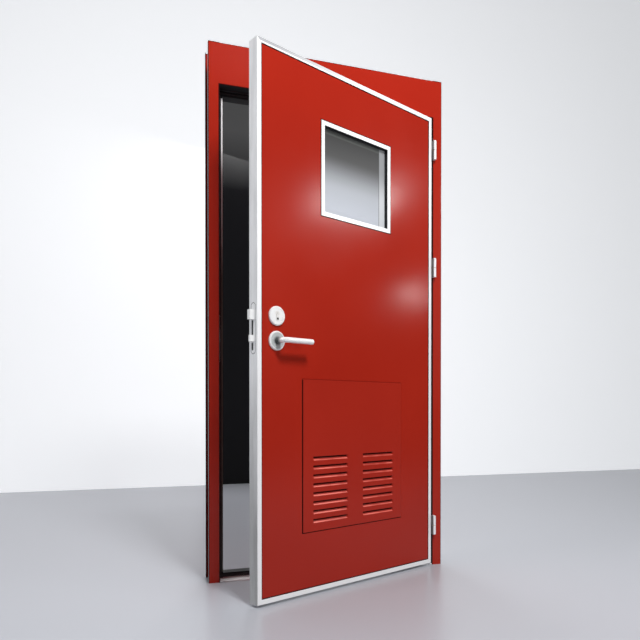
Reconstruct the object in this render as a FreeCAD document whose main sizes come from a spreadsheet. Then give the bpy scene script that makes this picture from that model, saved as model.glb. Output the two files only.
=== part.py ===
import FreeCAD, Part
import math
import os
import re
import Sketcher

# Marine fire door: an insulated leaf hung in a folded steel bulkhead frame, stored as it stands open.
# Axes: +X to the hinge side, +Y away from the side the leaf opens to, +Z up.
# Origin: middle of the sill's underside, halfway through the frame's depth.
# Every leaf piece is drawn as if the door were shut, then swung by open_angle about the hinge pins.

# Driving dimensions, in millimetres and degrees
SIZES = {
    # The leaf and how it hangs in the frame
    "leaf_width": 950,
    "leaf_height": 2000,
    "leaf_thickness": 50,
    "leaf_gap": 3.5,
    "leaf_lift": 10.5,
    "skin_wall": 1.2,
    "open_angle": 22.9,
    # The folded frame
    "frame_depth": 100,
    "frame_wall": 2,
    "fold_radius": 3,
    "side_face": 46,
    "head_face": 168,
    "flange_lip": 12,
    "stop_height": 20,
    "fixing_radius": 5.5,
    "fixing_low": 340,
    "fixing_pitch": 460,
    "fixing_inset": 22,
    # The sill
    "sill_base": 2,
    "sill_wall": 1.5,
    "sill_rise": 5,
    "upstand_rise": 25,
    "groove_width": 3,
    "groove_depth": 0.8,
    # Seals in the rebate
    "carrier_width": 18,
    "carrier_wall": 1,
    "seal_width": 12,
    "seal_rise": 2.6,
    "seal_inset": 2,
    "seal_bevel": 2,
    "seal_gap": 0.4,
    "swell_strip_width": 9,
    "swell_strip_wall": 1.5,
    "swell_strip_inset": 2,
    # Stainless trims round the leaf's edge
    "trim_wall": 1.5,
    "trim_face": 18,
    "trim_bevel": 0.8,
    # Butt hinges
    "hinge_offset": 4.5,
    "knuckle_radius": 9,
    "knuckle_gap": 0.4,
    "hinge_length": 82,
    "hinge_washer": 1.6,
    "washer_radius": 8,
    "pin_radius": 5,
    "pin_clearance": 0.05,
    "pin_head_radius": 7,
    "pin_head": 2.5,
    "pin_head_gap": 0.3,
    "washer_gap": 0.1,
    "hinge_plate": 1.6,
    "hinge_plate_reach": 32,
    "hinge_low": 170,
    "hinge_middle": 1328,
    "hinge_high_drop": 145,
    "hinge_screw_radius": 2.5,
    "hinge_screw_length": 7,
    "hinge_screw_pitch": 26,
    "hinge_screw_inset": 19,
    "backing_wall": 4,
    "backing_length": 96,
    # The window
    "window_width": 382,
    "window_height": 363,
    "window_offset": 13.8,
    "window_drop": 385,
    "window_trim_face": 16,
    "glass_cover": 8,
    "glass_thickness": 12,
    "glass_depth": 16,
    "glass_edge_gap": 1,
    "liner_wall": 1.5,
    "rear_gasket": 3,
    "bead_wall": 1.5,
    # The escape panel and its louvres
    "panel_width": 540,
    "panel_height": 573,
    "panel_offset": 1.3,
    "panel_drop": 232.5,
    "panel_wall": 1.5,
    "panel_overlap": 15,
    "panel_proud": 3,
    "panel_clearance": 4,
    "panel_corner": 4,
    "louvre_rows": 8,
    "louvre_pitch": 33.8,
    "louvre_foot": 30.4,
    "louvre_width": 180,
    "louvre_opening": 15,
    "louvre_depth": 9,
    "louvre_end_slant": 7,
    "louvre_margin": 49,
    "louvre_wall": 1.2,
    "louvre_land": 0.4,
    "louvre_slit": 0.8,
    "duct_margin": 5,
    "clip_width": 30,
    "clip_wall": 1,
    "clip_reach": 24,
    "clip_inset": 110,
    "clip_gap": 0.5,
    "panel_seat": 0.2,
    # The mortise lock
    "backset": 84,
    "cylinder_height": 1036.5,
    "lever_drop": 97,
    "case_thickness": 18,
    "case_wall": 1.5,
    "case_beyond": 41,
    "case_foot": 43.5,
    "case_head": 26.5,
    "faceplate_width": 24,
    "faceplate_margin": 6,
    "faceplate_wall": 3,
    "faceplate_gap": 1,
    "faceplate_screw_radius": 3.5,
    "faceplate_screw_inset": 9,
    "bolt_throw": 20,
    "bolt_thickness": 14,
    "bolt_clearance": 0.4,
    "latch_rise": 22.5,
    "latch_offset": 3.5,
    "dead_bolt_rise": 35,
    "dead_bolt_drop": 9,
    "bolt_shank": 20,
    "latch_lead": 2,
    "latch_nose": 7,
    "tail_wall": 4,
    "tail_root": 8,
    "tail_drop": 5,
    "tail_clearance": 3,
    "latch_arm": 8,
    "latch_bridge": 10,
    "latch_notch_back": 10,
    "finger_reach": 28.3,
    "finger_tip_radius": 3,
    "finger_half_width": 2.2,
    "finger_gap": 1.3,
    "tail_height": 22,
    "follower_radius": 12,
    "spindle_side": 8,
    "cam_reach": 14.1,
    "cam_tip_radius": 2.5,
    "cam_half_width": 1.5,
    "cam_hub_radius": 7.5,
    "cam_hub_wall": 10,
    "cam_lean": 45,
    "cam_gap": 0.6,
    "dead_arm": 4,
    "dead_bridge": 9,
    "dead_tail_height": 12.5,
    "dead_tail_clearance": 1,
    # Strike side
    "strike_wall": 1.5,
    "strike_width": 28,
    "strike_margin": 12,
    "strike_gap": 1.5,
    "strike_screw_head": 0.4,
    "dust_box_wall": 1.2,
    "dust_box_clearance": 4,
    # Roses, levers and the profile cylinder
    "rose_radius": 35,
    "rose_rise": 8,
    "rose_chamfer": 3,
    "rose_wall": 2,
    "neck_radius": 10,
    "neck_clearance": 0.5,
    "neck_start": 0.5,
    "spindle_hole": 9,
    "spindle_reach": 30,
    "journal_radius": 8,
    "journal_clearance": 0.05,
    "rose_drop": 8,
    "handle_length": 129,
    "handle_standoff": 50,
    "handle_bend": 18,
    "handle_round": 2,
    "cylinder_radius": 8.5,
    "cylinder_drop": 24.5,
    "cylinder_web": 10,
    "cylinder_proud": 1.5,
    "cylinder_clearance": 0.3,
    "cylinder_slot": 11,
    "cylinder_bridge": 7,
    "key_hole_gap": 1,
    "plug_radius": 6.5,
    "plug_clearance": 0.05,
    "key_slot_width": 2,
    "key_slot_height": 8,
    "key_slot_depth": 12,
    "thumb_radius": 12,
    "thumb_length": 18,
    "thumb_wall": 5,
    "thumb_grip": 21,
    "thumb_gap": 0.4,
}

doc = FreeCAD.newDocument("marine_fire_door")
sheet = doc.addObject("Spreadsheet::Sheet", "sizes")
for row, (alias, value) in enumerate(SIZES.items(), start=1):
    sheet.set(f"A{row}", alias)
    sheet.set(f"B{row}", str(value))
    sheet.setAlias(f"B{row}", alias)
doc.recompute()

# Places that several pieces share, written with the sheet's names
FRONT = "(-frame_depth/2)"
BACK = "(frame_depth/2)"
LEAF_BACK = f"({FRONT}+leaf_thickness)"
LEAF_MID = f"({FRONT}+leaf_thickness/2)"
SKIN_FRONT = f"({FRONT}+trim_wall)"
SKIN_BACK = f"({LEAF_BACK}-trim_wall)"
LEAF_EDGE = "(leaf_width/2)"
MOUTH = f"({LEAF_EDGE}+leaf_gap)"
STOP_EDGE = f"({MOUTH}-stop_height)"
FRAME_EDGE = f"({MOUTH}+side_face)"
STOP_FACE = f"({LEAF_BACK}+seal_gap+seal_rise+carrier_wall)"
LEAF_TOP = "(leaf_lift+leaf_height)"
HEAD_UNDERSIDE = f"({LEAF_TOP}+leaf_gap)"
HEAD_STOP = f"({HEAD_UNDERSIDE}-stop_height)"
FRAME_TOP = f"({HEAD_UNDERSIDE}+head_face)"
HINGE_X = f"({MOUTH}+hinge_offset)"
HINGE_Y = f"({FRONT}-knuckle_radius-knuckle_gap)"
LOCK_X = f"(-{LEAF_EDGE}+backset)"
LOCK_AXIS = "(leaf_lift+cylinder_height-lever_drop)"
KEY_AXIS = "(leaf_lift+cylinder_height)"
LATCH_MIDDLE = f"({LOCK_AXIS}+latch_offset)"
DEAD_BOLT_MIDDLE = f"({KEY_AXIS}-dead_bolt_drop)"
CASE_LOW = f"({LOCK_AXIS}-case_foot)"
CASE_HIGH = f"({KEY_AXIS}+case_head)"
PLATE_LOW = f"({CASE_LOW}-faceplate_margin)"
PLATE_HIGH = f"({CASE_HIGH}+faceplate_margin)"
LATCH, HINGE = "-1", "1"
OUTSIDE, INSIDE = -1, 1


# How a piece is drawn

def bound(text):
    """Point every sheet name in the text at the sheet."""
    return re.sub(r"[a-z_]+", lambda word: f"sizes.{word[0]}" if word[0] in SIZES else word[0], str(text))


def at_leaf(height):
    """Height above the sill's underside of a height above the leaf's bottom edge."""
    return f"(leaf_lift+{height})"


def new_body(label):
    body = doc.addObject("PartDesign::Body", label)
    body.Label = label
    return body


def new_sketch(body, role, depth, shift="0"):
    """A sketch on one of the body's own origin planes, moved along the plane's normal by depth."""
    sketch = body.newObject("Sketcher::SketchObject", f"{body.Name}_sketch")
    plane = next(item for item in body.Origin.OriginFeatures if item.Role == role)
    sketch.AttachmentSupport = [(plane, "")]
    sketch.MapMode = "FlatFace"
    sketch.setExpression("AttachmentOffset.Base.x", bound(shift))
    sketch.setExpression("AttachmentOffset.Base.z", bound(depth))
    return sketch


def draw_polygon(sketch, corners):
    """A closed outline whose every corner is dimensioned from the sketch's origin."""
    count = len(corners)
    first = sketch.GeometryCount
    spots = []
    for index in range(count):
        turn = 2 * math.pi * index / count
        spots.append(FreeCAD.Vector(100 * math.cos(turn), 100 * math.sin(turn), 0))
    for index in range(count):
        sketch.addGeometry(Part.LineSegment(spots[index], spots[(index + 1) % count]), False)
    joins = []
    places = []
    for index in range(count):
        joins.append(Sketcher.Constraint("Coincident", first + index, 2, first + (index + 1) % count, 1))
        places.append(Sketcher.Constraint("DistanceX", first + index, 1, spots[index].x))
        places.append(Sketcher.Constraint("DistanceY", first + index, 1, spots[index].y))
    start = sketch.ConstraintCount + count
    sketch.addConstraint(joins + places)
    for index, (across, up) in enumerate(corners):
        sketch.setExpression(f"Constraints[{start + 2 * index}]", bound(across))
        sketch.setExpression(f"Constraints[{start + 2 * index + 1}]", bound(up))


def draw_circle(sketch, across, up, radius):
    circle = sketch.GeometryCount
    sketch.addGeometry(Part.Circle(FreeCAD.Vector(1, 1, 0), FreeCAD.Vector(0, 0, 1), 1), False)
    start = sketch.ConstraintCount
    sketch.addConstraint([
        Sketcher.Constraint("DistanceX", circle, 3, 1.0),
        Sketcher.Constraint("DistanceY", circle, 3, 1.0),
        Sketcher.Constraint("Radius", circle, 1.0),
    ])
    for index, text in enumerate((across, up, radius)):
        sketch.setExpression(f"Constraints[{start + index}]", bound(text))


def draw(sketch, outlines):
    for outline in outlines:
        if isinstance(outline, tuple):
            draw_circle(sketch, *outline)
        else:
            draw_polygon(sketch, outline)


def rect(left, right, bottom, top):
    return [(left, bottom), (right, bottom), (right, top), (left, top)]


def around(centre, middle, width, height, grow="0"):
    """A rectangle about a centre, grown outwards by the same amount on every side."""
    half_width = f"(({width})/2+({grow}))"
    half_height = f"(({height})/2+({grow}))"
    left, right = f"{centre}-{half_width}", f"{centre}+{half_width}"
    return rect(left, right, f"{middle}-{half_height}", f"{middle}+{half_height}")


def extrude(body, kind, axis, low, high, outlines):
    """Pad or pocket the outlines between two places on an axis.

    Outlines across X are drawn in (Y, Z), across Y in (X, Z) and across Z in (X, Y).
    """
    role = {"X": "YZ_Plane", "Y": "XZ_Plane", "Z": "XY_Plane"}[axis]
    normal_is_up = axis != "Y"
    starts_low = (kind == "Pad") == normal_is_up
    start = low if starts_low else high
    depth = f"({start})" if normal_is_up else f"-({start})"
    sketch = new_sketch(body, role, depth)
    draw(sketch, outlines)
    feature = body.newObject(f"PartDesign::{kind}", f"{body.Name}_{kind.lower()}")
    feature.Profile = sketch
    feature.Refine = True
    feature.setExpression("Length", bound(f"({high})-({low})"))
    return feature


def pad(body, axis, low, high, *outlines):
    return extrude(body, "Pad", axis, low, high, outlines)


def pocket(body, axis, low, high, *outlines):
    return extrude(body, "Pocket", axis, low, high, outlines)


def ring(body, axis, low, high, centre, middle, width, height, wall):
    """A rectangular ring given by its outer size and its width all round."""
    outer = around(centre, middle, width, height)
    inner = around(centre, middle, width, height, f"-({wall})")
    return pad(body, axis, low, high, outer, inner)


def revolve(body, kind, centre, height, corners):
    """Turn a profile of (radius, y) corners about a line along Y."""
    sketch = new_sketch(body, "XY_Plane", height, centre)
    draw_polygon(sketch, corners)
    feature = body.newObject(f"PartDesign::{kind}", f"{body.Name}_{kind.lower()}")
    feature.Profile = sketch
    feature.ReferenceAxis = (sketch, ["V_Axis"])
    feature.Angle = 360
    return feature


def edges_where(shape, wanted):
    names = []
    for number, edge in enumerate(shape.Edges, start=1):
        if wanted(edge):
            names.append(f"Edge{number}")
    return names


def runs_along(edge, axis):
    if not isinstance(edge.Curve, Part.Line):
        return False
    return abs(edge.Curve.Direction.dot(axis)) > 0.999


def soften(body, kind, size_name, text, wanted):
    """Fillet or chamfer the edges of the body's tip that the test picks."""
    doc.recompute()
    base = body.Tip
    feature = body.newObject(f"PartDesign::{kind}", f"{body.Name}_{kind.lower()}")
    feature.Base = (base, edges_where(base.Shape, wanted))
    feature.setExpression(size_name, bound(text))
    return feature


# How a piece is placed and kept

nodes = []


def keep(piece, on_leaf=False):
    """List a finished piece; one that hangs on the leaf swings about the hinge pins."""
    if on_leaf:
        piece.Placement = FreeCAD.Placement(FreeCAD.Vector(), FreeCAD.Rotation(FreeCAD.Vector(0, 0, 1), 1))
        sideways = f"{HINGE_X}*(1-cos(open_angle))+{HINGE_Y}*sin(open_angle)"
        outwards = f"{HINGE_Y}*(1-cos(open_angle))-{HINGE_X}*sin(open_angle)"
        piece.setExpression("Placement.Base.x", bound(sideways))
        piece.setExpression("Placement.Base.y", bound(outwards))
        piece.setExpression("Placement.Rotation.Angle", bound("open_angle"))
    nodes.append(piece)
    return piece


def group(label, pieces, on_leaf=False):
    """Several separate solids of one kind, kept as one node."""
    compound = doc.addObject("Part::Compound", label)
    compound.Label = label
    compound.Links = pieces
    return keep(compound, on_leaf)


def side(sign, distance):
    return f"({sign})*({distance})"


# The frame: two folded jambs and the head

def fold(across, through, side_from, side_to):
    """An outer corner of the folded sheet, rounded in three flats between its two sides.

    Each side is the way from the corner to where its flat begins, 1, 0 or -1 on both axes.
    """
    corners = []
    for turn in (0, 30, 60, 90):
        first = f"fold_radius*(1-sin({turn}))"
        second = f"fold_radius*(1-cos({turn}))"
        corners.append((
            f"{across}+({side_from[0]})*{first}+({side_to[0]})*{second}",
            f"{through}+({side_from[1]})*{first}+({side_to[1]})*{second}",
        ))
    return corners


def frame_profile(mouth, stop, edge, sign, across_first, mouth_folded=True, stop_folded=True):
    """The folded section: flange, rebate, stop, soffit and back flange, open to the bulkhead."""
    wall = "frame_wall"
    out, back = (1, 0), (0, 1)
    inwards, forward = (-1, 0), (0, -1)
    corners = fold(edge, FRONT, back, inwards)
    corners += fold(mouth, FRONT, out, back) if mouth_folded else [(mouth, FRONT)]
    corners.append((mouth, STOP_FACE))
    if stop_folded:
        corners += fold(stop, STOP_FACE, out, back) + fold(stop, BACK, forward, out)
    else:
        corners += [(stop, STOP_FACE), (stop, BACK)]
    corners += fold(edge, BACK, inwards, forward) + [
        (edge, f"{BACK}-flange_lip"), (f"{edge}-{wall}", f"{BACK}-flange_lip"),
        (f"{edge}-{wall}", f"{BACK}-{wall}"), (f"{stop}+{wall}", f"{BACK}-{wall}"),
        (f"{stop}+{wall}", f"{STOP_FACE}+{wall}"), (f"{mouth}+{wall}", f"{STOP_FACE}+{wall}"),
        (f"{mouth}+{wall}", f"{FRONT}+{wall}"), (f"{edge}-{wall}", f"{FRONT}+{wall}"),
        (f"{edge}-{wall}", f"{FRONT}+flange_lip"), (edge, f"{FRONT}+flange_lip"),
    ]
    if across_first:
        return [(side(sign, across), through) for across, through in corners]
    return [(through, across) for across, through in corners]


def bolt_window(body, sign, grow, inner, outer):
    """Let the latch and the dead bolt through an upright wall on the latch side."""
    for middle, rise in ((LATCH_MIDDLE, "latch_rise"), (DEAD_BOLT_MIDDLE, "dead_bolt_rise")):
        opening = around(LEAF_MID, middle, "bolt_thickness", rise, grow)
        pocket(body, "X", side(sign, outer), side(sign, inner), opening)


def jamb(label, sign):
    body = new_body(label)
    section = (MOUTH, STOP_EDGE, FRAME_EDGE, sign, True)
    pad(body, "Z", "0", HEAD_STOP, frame_profile(*section))
    pad(body, "Z", HEAD_STOP, HEAD_UNDERSIDE, frame_profile(*section, stop_folded=False))
    pad(body, "Z", HEAD_UNDERSIDE, FRAME_TOP, frame_profile(*section, False, False))
    ends = (f"{STOP_EDGE}-1", f"{STOP_EDGE}+frame_wall+1")
    low, high = [side(sign, end) for end in (ends if sign == HINGE else ends[::-1])]
    for number in range(4):
        height = f"fixing_low+{number}*fixing_pitch"
        pocket(body, "X", low, high, (f"{BACK}-fixing_inset", height, "fixing_radius"))
    return body


jamb_latch = jamb("frame_jamb_latch", LATCH)
bolt_window(jamb_latch, LATCH, "strike_gap", f"{MOUTH}-1", f"{MOUTH}+frame_wall+1")
keep(jamb_latch)
jamb_hinge = keep(jamb("frame_jamb_hinge", HINGE))

head = new_body("frame_head")
pad(head, "X", f"-{MOUTH}", MOUTH, frame_profile(HEAD_UNDERSIDE, HEAD_STOP, FRAME_TOP, HINGE, False))


def clear_of_stop(body, low, high):
    """Cut both ends back where the jambs' stops stand."""
    for sign in (LATCH, HINGE):
        near, far, behind = side(sign, STOP_EDGE), side(sign, f"{MOUTH}+1"), f"{BACK}+1"
        pocket(body, "Z", low, high, [(near, STOP_FACE), (far, STOP_FACE), (far, behind), (near, behind)])


clear_of_stop(head, f"{HEAD_STOP}-1", f"{FRAME_TOP}+1")
keep(head)

# The sill: a flat base plate with the folded stainless tread over it
sill_base = new_body("sill_base")
pad(sill_base, "Z", "0", "sill_base", rect(f"-{STOP_EDGE}", STOP_EDGE, FRONT, BACK))
keep(sill_base)

tread = new_body("sill_tread")
pad(tread, "X", f"-{MOUTH}", MOUTH, [
    (FRONT, "sill_base"), (f"{FRONT}+sill_wall", "sill_base"), (f"{FRONT}+sill_wall", "sill_rise-sill_wall"),
    (f"{STOP_FACE}+sill_wall", "sill_rise-sill_wall"), (f"{STOP_FACE}+sill_wall", "upstand_rise-sill_wall"),
    (f"{BACK}-sill_wall", "upstand_rise-sill_wall"), (f"{BACK}-sill_wall", "sill_base"), (BACK, "sill_base"),
    (BACK, "upstand_rise"), (STOP_FACE, "upstand_rise"), (STOP_FACE, "sill_rise"), (FRONT, "sill_rise"),
])
clear_of_stop(tread, "sill_base-1", "upstand_rise+1")
for number in (1, 2, 3):
    groove = f"{FRONT}+({STOP_FACE}-{FRONT})*{number}/4"
    pocket(tread, "Z", "sill_rise-groove_depth", "sill_rise+1",
           rect(f"-{MOUTH}-1", f"{MOUTH}+1", f"{groove}-groove_width/2", f"{groove}+groove_width/2"))
keep(tread)

# The seal in its carrier, one ring round the stop and the sill's upstand
SEAL_MIDDLE = f"(({HEAD_UNDERSIDE}+sill_rise)/2)"
SEAL_WIDTH = f"(2*({MOUTH}-seal_inset))"
SEAL_HEIGHT = f"({HEAD_UNDERSIDE}-sill_rise-2*seal_inset)"
carrier = new_body("seal_carrier")
SEAL_RING = ("0", SEAL_MIDDLE, SEAL_WIDTH, SEAL_HEIGHT)
ring(carrier, "Y", f"{STOP_FACE}-carrier_wall", STOP_FACE, *SEAL_RING, "carrier_width")
keep(carrier)

seal = new_body("frame_seal")
ring(seal, "Y", f"{STOP_FACE}-carrier_wall-seal_rise", f"{STOP_FACE}-carrier_wall", *SEAL_RING, "seal_width")
seal_front = SIZES["leaf_thickness"] + SIZES["seal_gap"] - SIZES["frame_depth"] / 2
seal_middle = seal_front + SIZES["seal_rise"] / 2
soften(seal, "Chamfer", "Size", "seal_bevel", lambda edge: edge.BoundBox.YMax < seal_middle)
keep(seal)

strips = []
strip_back = f"({STOP_FACE}-carrier_wall-swell_strip_inset)"
strip_front = f"({strip_back}-swell_strip_width)"
for name, sign in (("latch", LATCH), ("hinge", HINGE)):
    strip = new_body(f"swell_strip_{name}")
    inner = side(sign, f"{MOUTH}-swell_strip_wall")
    outer = side(sign, MOUTH)
    pad(strip, "Z", "upstand_rise", f"{HEAD_UNDERSIDE}-swell_strip_inset",
        [(inner, strip_front), (outer, strip_front), (outer, strip_back), (inner, strip_back)])
    strips.append(strip)
strip = new_body("swell_strip_head")
pad(strip, "Z", f"{HEAD_UNDERSIDE}-swell_strip_wall", HEAD_UNDERSIDE,
    rect(f"-{MOUTH}+2*swell_strip_wall", f"{MOUTH}-2*swell_strip_wall", strip_front, strip_back))
strips.append(strip)
group("intumescent_strips", strips)

# The strike on the latch jamb: plate, dust box behind the wall, screws
STRIKE_LOW = f"({PLATE_LOW}-strike_margin/2)"
STRIKE_HIGH = f"({PLATE_HIGH}+strike_margin/2)"
strike = new_body("strike_plate")
pad(strike, "X", f"-{MOUTH}", f"-{MOUTH}+strike_wall",
    rect(f"{LEAF_MID}-strike_width/2", f"{LEAF_MID}+strike_width/2", STRIKE_LOW, STRIKE_HIGH))
bolt_window(strike, LATCH, "strike_gap", f"{MOUTH}-strike_wall-1", f"{MOUTH}+1")
keep(strike)

dust_box = new_body("strike_dust_box")
box_face = f"({MOUTH}+frame_wall)"
box_end = f"({LEAF_EDGE}+bolt_throw+dust_box_clearance)"
box_low = f"({LATCH_MIDDLE}-latch_rise/2-strike_gap)"
box_high = f"({DEAD_BOLT_MIDDLE}+dead_bolt_rise/2+strike_gap)"
box_inside = (LEAF_MID, f"(({box_low}+{box_high})/2)",
              "(bolt_thickness+2*strike_gap)", f"({box_high}-{box_low})")
pad(dust_box, "X", f"-({box_end}+dust_box_wall)", f"-{box_face}", around(*box_inside, "dust_box_wall"))
pocket(dust_box, "X", f"-{box_end}", f"-{box_face}+1", around(*box_inside))
keep(dust_box)

screws = []
for name, height in (("low", f"{STRIKE_LOW}+strike_margin"), ("high", f"{STRIKE_HIGH}-strike_margin")):
    screw = new_body(f"strike_screw_{name}")
    pad(screw, "X", f"-{MOUTH}+strike_wall", f"-{MOUTH}+strike_wall+strike_screw_head",
        (LEAF_MID, height, "faceplate_screw_radius"))
    screws.append(screw)
group("strike_screws", screws)

# The hinges: a frame half below, a leaf half above, a pin and a washer
HINGES = {
    "lower": at_leaf("hinge_low"),
    "middle": at_leaf("hinge_middle"),
    "upper": f"({LEAF_TOP}-hinge_high_drop)",
}


def hinge_half(label, centre, on_leaf):
    """A plate on the rebate wall or on the leaf's edge, its neck and half of the knuckle."""
    body = new_body(label)
    low = f"({centre}-hinge_length/2)"
    high = f"({centre}+hinge_length/2)"
    if on_leaf:
        inner, outer = LEAF_EDGE, f"({LEAF_EDGE}+hinge_plate)"
        knuckle_low, knuckle_high = f"({centre}+hinge_washer/2)", high
        bore = "(pin_radius+pin_clearance)"
    else:
        inner, outer = f"({MOUTH}-hinge_plate)", MOUTH
        knuckle_low, knuckle_high = low, f"({centre}-hinge_washer/2)"
        bore = "pin_radius"
    pad(body, "Z", low, high, rect(inner, outer, FRONT, f"{FRONT}+hinge_plate_reach"))
    pad(body, "Z", knuckle_low, knuckle_high, rect(inner, outer, HINGE_Y, FRONT))
    pad(body, "Z", knuckle_low, knuckle_high, (HINGE_X, HINGE_Y, "knuckle_radius"))
    pocket(body, "Z", f"{knuckle_low}-1", f"{knuckle_high}+1", (HINGE_X, HINGE_Y, bore))
    pocket(body, "X", f"{inner}-1", f"{outer}+1", *screw_holes(centre))
    return keep(body, on_leaf)


pins = []
washers = []
frame_screws = []
leaf_screws = []
backings = []
stiffeners = []
SCREW_DEPTH = f"({FRONT}+hinge_screw_inset)"


def screw_holes(centre):
    """The three screw holes of a hinge plate, as outlines across X."""
    heights = [f"{centre}+({number})*hinge_screw_pitch" for number in (-1, 0, 1)]
    return [(SCREW_DEPTH, height, "hinge_screw_radius") for height in heights]


def plate_between(label, start, end, near, far, centre):
    """A tapped plate behind a hinge, with the hinge's screw holes in it."""
    body = new_body(label)
    low, high = f"{centre}-backing_length/2", f"{centre}+backing_length/2"
    pad(body, "X", start, end, rect(near, far, low, high))
    pocket(body, "X", f"{start}-1", f"{end}+1", *screw_holes(centre))
    return body


for name, centre in HINGES.items():
    pocket(jamb_hinge, "X", f"{MOUTH}-1", f"{MOUTH}+frame_wall+1", *screw_holes(centre))
    hinge_half(f"hinge_frame_half_{name}", centre, False)
    hinge_half(f"hinge_leaf_half_{name}", centre, True)
    pin = new_body(f"hinge_pin_{name}")
    pin_top = f"{centre}+hinge_length/2+pin_head_gap"
    pad(pin, "Z", f"{centre}-hinge_length/2", pin_top, (HINGE_X, HINGE_Y, "pin_radius"))
    pad(pin, "Z", pin_top, f"{pin_top}+pin_head", (HINGE_X, HINGE_Y, "pin_head_radius"))
    pins.append(pin)
    washer = new_body(f"hinge_washer_{name}")
    pad(washer, "Z", f"{centre}-hinge_washer/2", f"{centre}+hinge_washer/2-washer_gap",
        (HINGE_X, HINGE_Y, "washer_radius"), (HINGE_X, HINGE_Y, "pin_radius"))
    washers.append(washer)
    backings.append(plate_between(
        f"hinge_backing_{name}", f"{MOUTH}+frame_wall", f"{MOUTH}+frame_wall+backing_wall",
        f"{FRONT}+frame_wall", f"{FRONT}+hinge_plate_reach", centre))
    stiffeners.append(plate_between(
        f"hinge_stiffener_{name}", f"{LEAF_EDGE}-trim_wall-backing_wall", f"{LEAF_EDGE}-trim_wall",
        f"{SKIN_FRONT}+skin_wall", f"{SKIN_BACK}-skin_wall", centre))
    for hole in screw_holes(centre):
        frame_screw = new_body(f"frame_screw_{name}")
        head = f"{MOUTH}-hinge_plate"
        pad(frame_screw, "X", head, f"{head}+hinge_screw_length", hole)
        frame_screws.append(frame_screw)
        leaf_screw = new_body(f"leaf_screw_{name}")
        head = f"{LEAF_EDGE}+hinge_plate"
        pad(leaf_screw, "X", f"{head}-hinge_screw_length", head, hole)
        leaf_screws.append(leaf_screw)
group("hinge_pins", pins)
group("hinge_washers", washers)
group("hinge_frame_screws", frame_screws)
group("hinge_leaf_screws", leaf_screws, True)
group("hinge_backings", backings)
group("hinge_stiffeners", stiffeners, True)

# The leaf's edge: four folded stainless channels, mitred at the corners


def trim_profile(edge, sign, across_first):
    """A channel over the leaf's edge, its legs lapping both skins and bevelled on the outside."""
    reach = f"({edge}-trim_face)"
    inner = f"({edge}-trim_wall)"
    corners = [
        (f"{edge}-trim_bevel", FRONT), (reach, FRONT), (reach, SKIN_FRONT), (inner, SKIN_FRONT),
        (inner, SKIN_BACK), (reach, SKIN_BACK), (reach, LEAF_BACK), (f"{edge}-trim_bevel", LEAF_BACK),
        (edge, f"{LEAF_BACK}-trim_bevel"), (edge, f"{FRONT}+trim_bevel"),
    ]
    if across_first:
        return [(side(sign, across), through) for across, through in corners]
    return [(through, across) for across, through in corners]


def mitre(body, side_sign, end, inwards, upright):
    """Cut one end of a trim at 45 degrees. inwards is -1 at the leaf's top and 1 at its bottom."""
    run = "(trim_face+1)"
    edge = side(side_sign, LEAF_EDGE)
    across = f"{edge}-({side_sign})*{run}"
    along = f"{end}+({inwards})*{run}"
    if upright:
        corner = [(edge, end), (across, end), (across, along)]
    else:
        corner = [(edge, end), (edge, along), (across, along)]
    pocket(body, "Y", f"{FRONT}-1", f"{LEAF_BACK}+1", corner)


def slot_window(body, kind, axis_low, axis_high, grow):
    """The round-ended outline of the lock's faceplate, padded or cut along X."""
    half = f"(faceplate_width/2+{grow})"
    low = f"({PLATE_LOW}+faceplate_width/2)"
    high = f"({PLATE_HIGH}-faceplate_width/2)"
    middle = rect(f"{LEAF_MID}-{half}", f"{LEAF_MID}+{half}", low, high)
    for outline in (middle, (LEAF_MID, low, half), (LEAF_MID, high, half)):
        extrude(body, kind, "X", axis_low, axis_high, [outline])


for name, sign in (("latch", LATCH), ("hinge", HINGE)):
    trim = new_body(f"edge_trim_{name}")
    pad(trim, "Z", "leaf_lift", LEAF_TOP, trim_profile(LEAF_EDGE, sign, True))
    mitre(trim, sign, LEAF_TOP, "-1", True)
    mitre(trim, sign, "leaf_lift", "1", True)
    if sign == LATCH:
        slot_window(trim, "Pocket", f"-{LEAF_EDGE}-1", f"-{LEAF_EDGE}+trim_wall+0.5", "faceplate_gap")
    else:
        for centre in HINGES.values():
            pocket(trim, "X", f"{LEAF_EDGE}-trim_wall-0.5", f"{LEAF_EDGE}+1", *screw_holes(centre))
    keep(trim, True)

for name, end, inwards in (("top", LEAF_TOP, "-1"), ("bottom", "leaf_lift", "1")):
    trim = new_body(f"edge_trim_{name}")
    outline = trim_profile(LEAF_TOP, HINGE, False)
    if name == "bottom":
        outline = [(through, f"2*leaf_lift+leaf_height-({up})") for through, up in outline]
    pad(trim, "X", f"-{LEAF_EDGE}", LEAF_EDGE, outline)
    for sign in (LATCH, HINGE):
        mitre(trim, sign, end, inwards, False)
    keep(trim, True)

# The window, from the front: trim, gasket, fire glass, gasket, bead with its trim; a steel liner round them
WINDOW = ("window_offset", f"({LEAF_TOP}-window_drop)")
SIGHT = ("(window_width-2*window_trim_face)", "(window_height-2*window_trim_face)")
GLASS_FRONT = f"({FRONT}+glass_depth)"
GLASS_BACK = f"({GLASS_FRONT}+glass_thickness)"
BEAD_FRONT = f"({GLASS_BACK}+rear_gasket)"
LINER_OUT = "(glass_cover+glass_edge_gap+liner_wall)"
GASKET = (f"({SIGHT[0]}+2*glass_cover)", f"({SIGHT[1]}+2*glass_cover)", "glass_cover")

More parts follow.
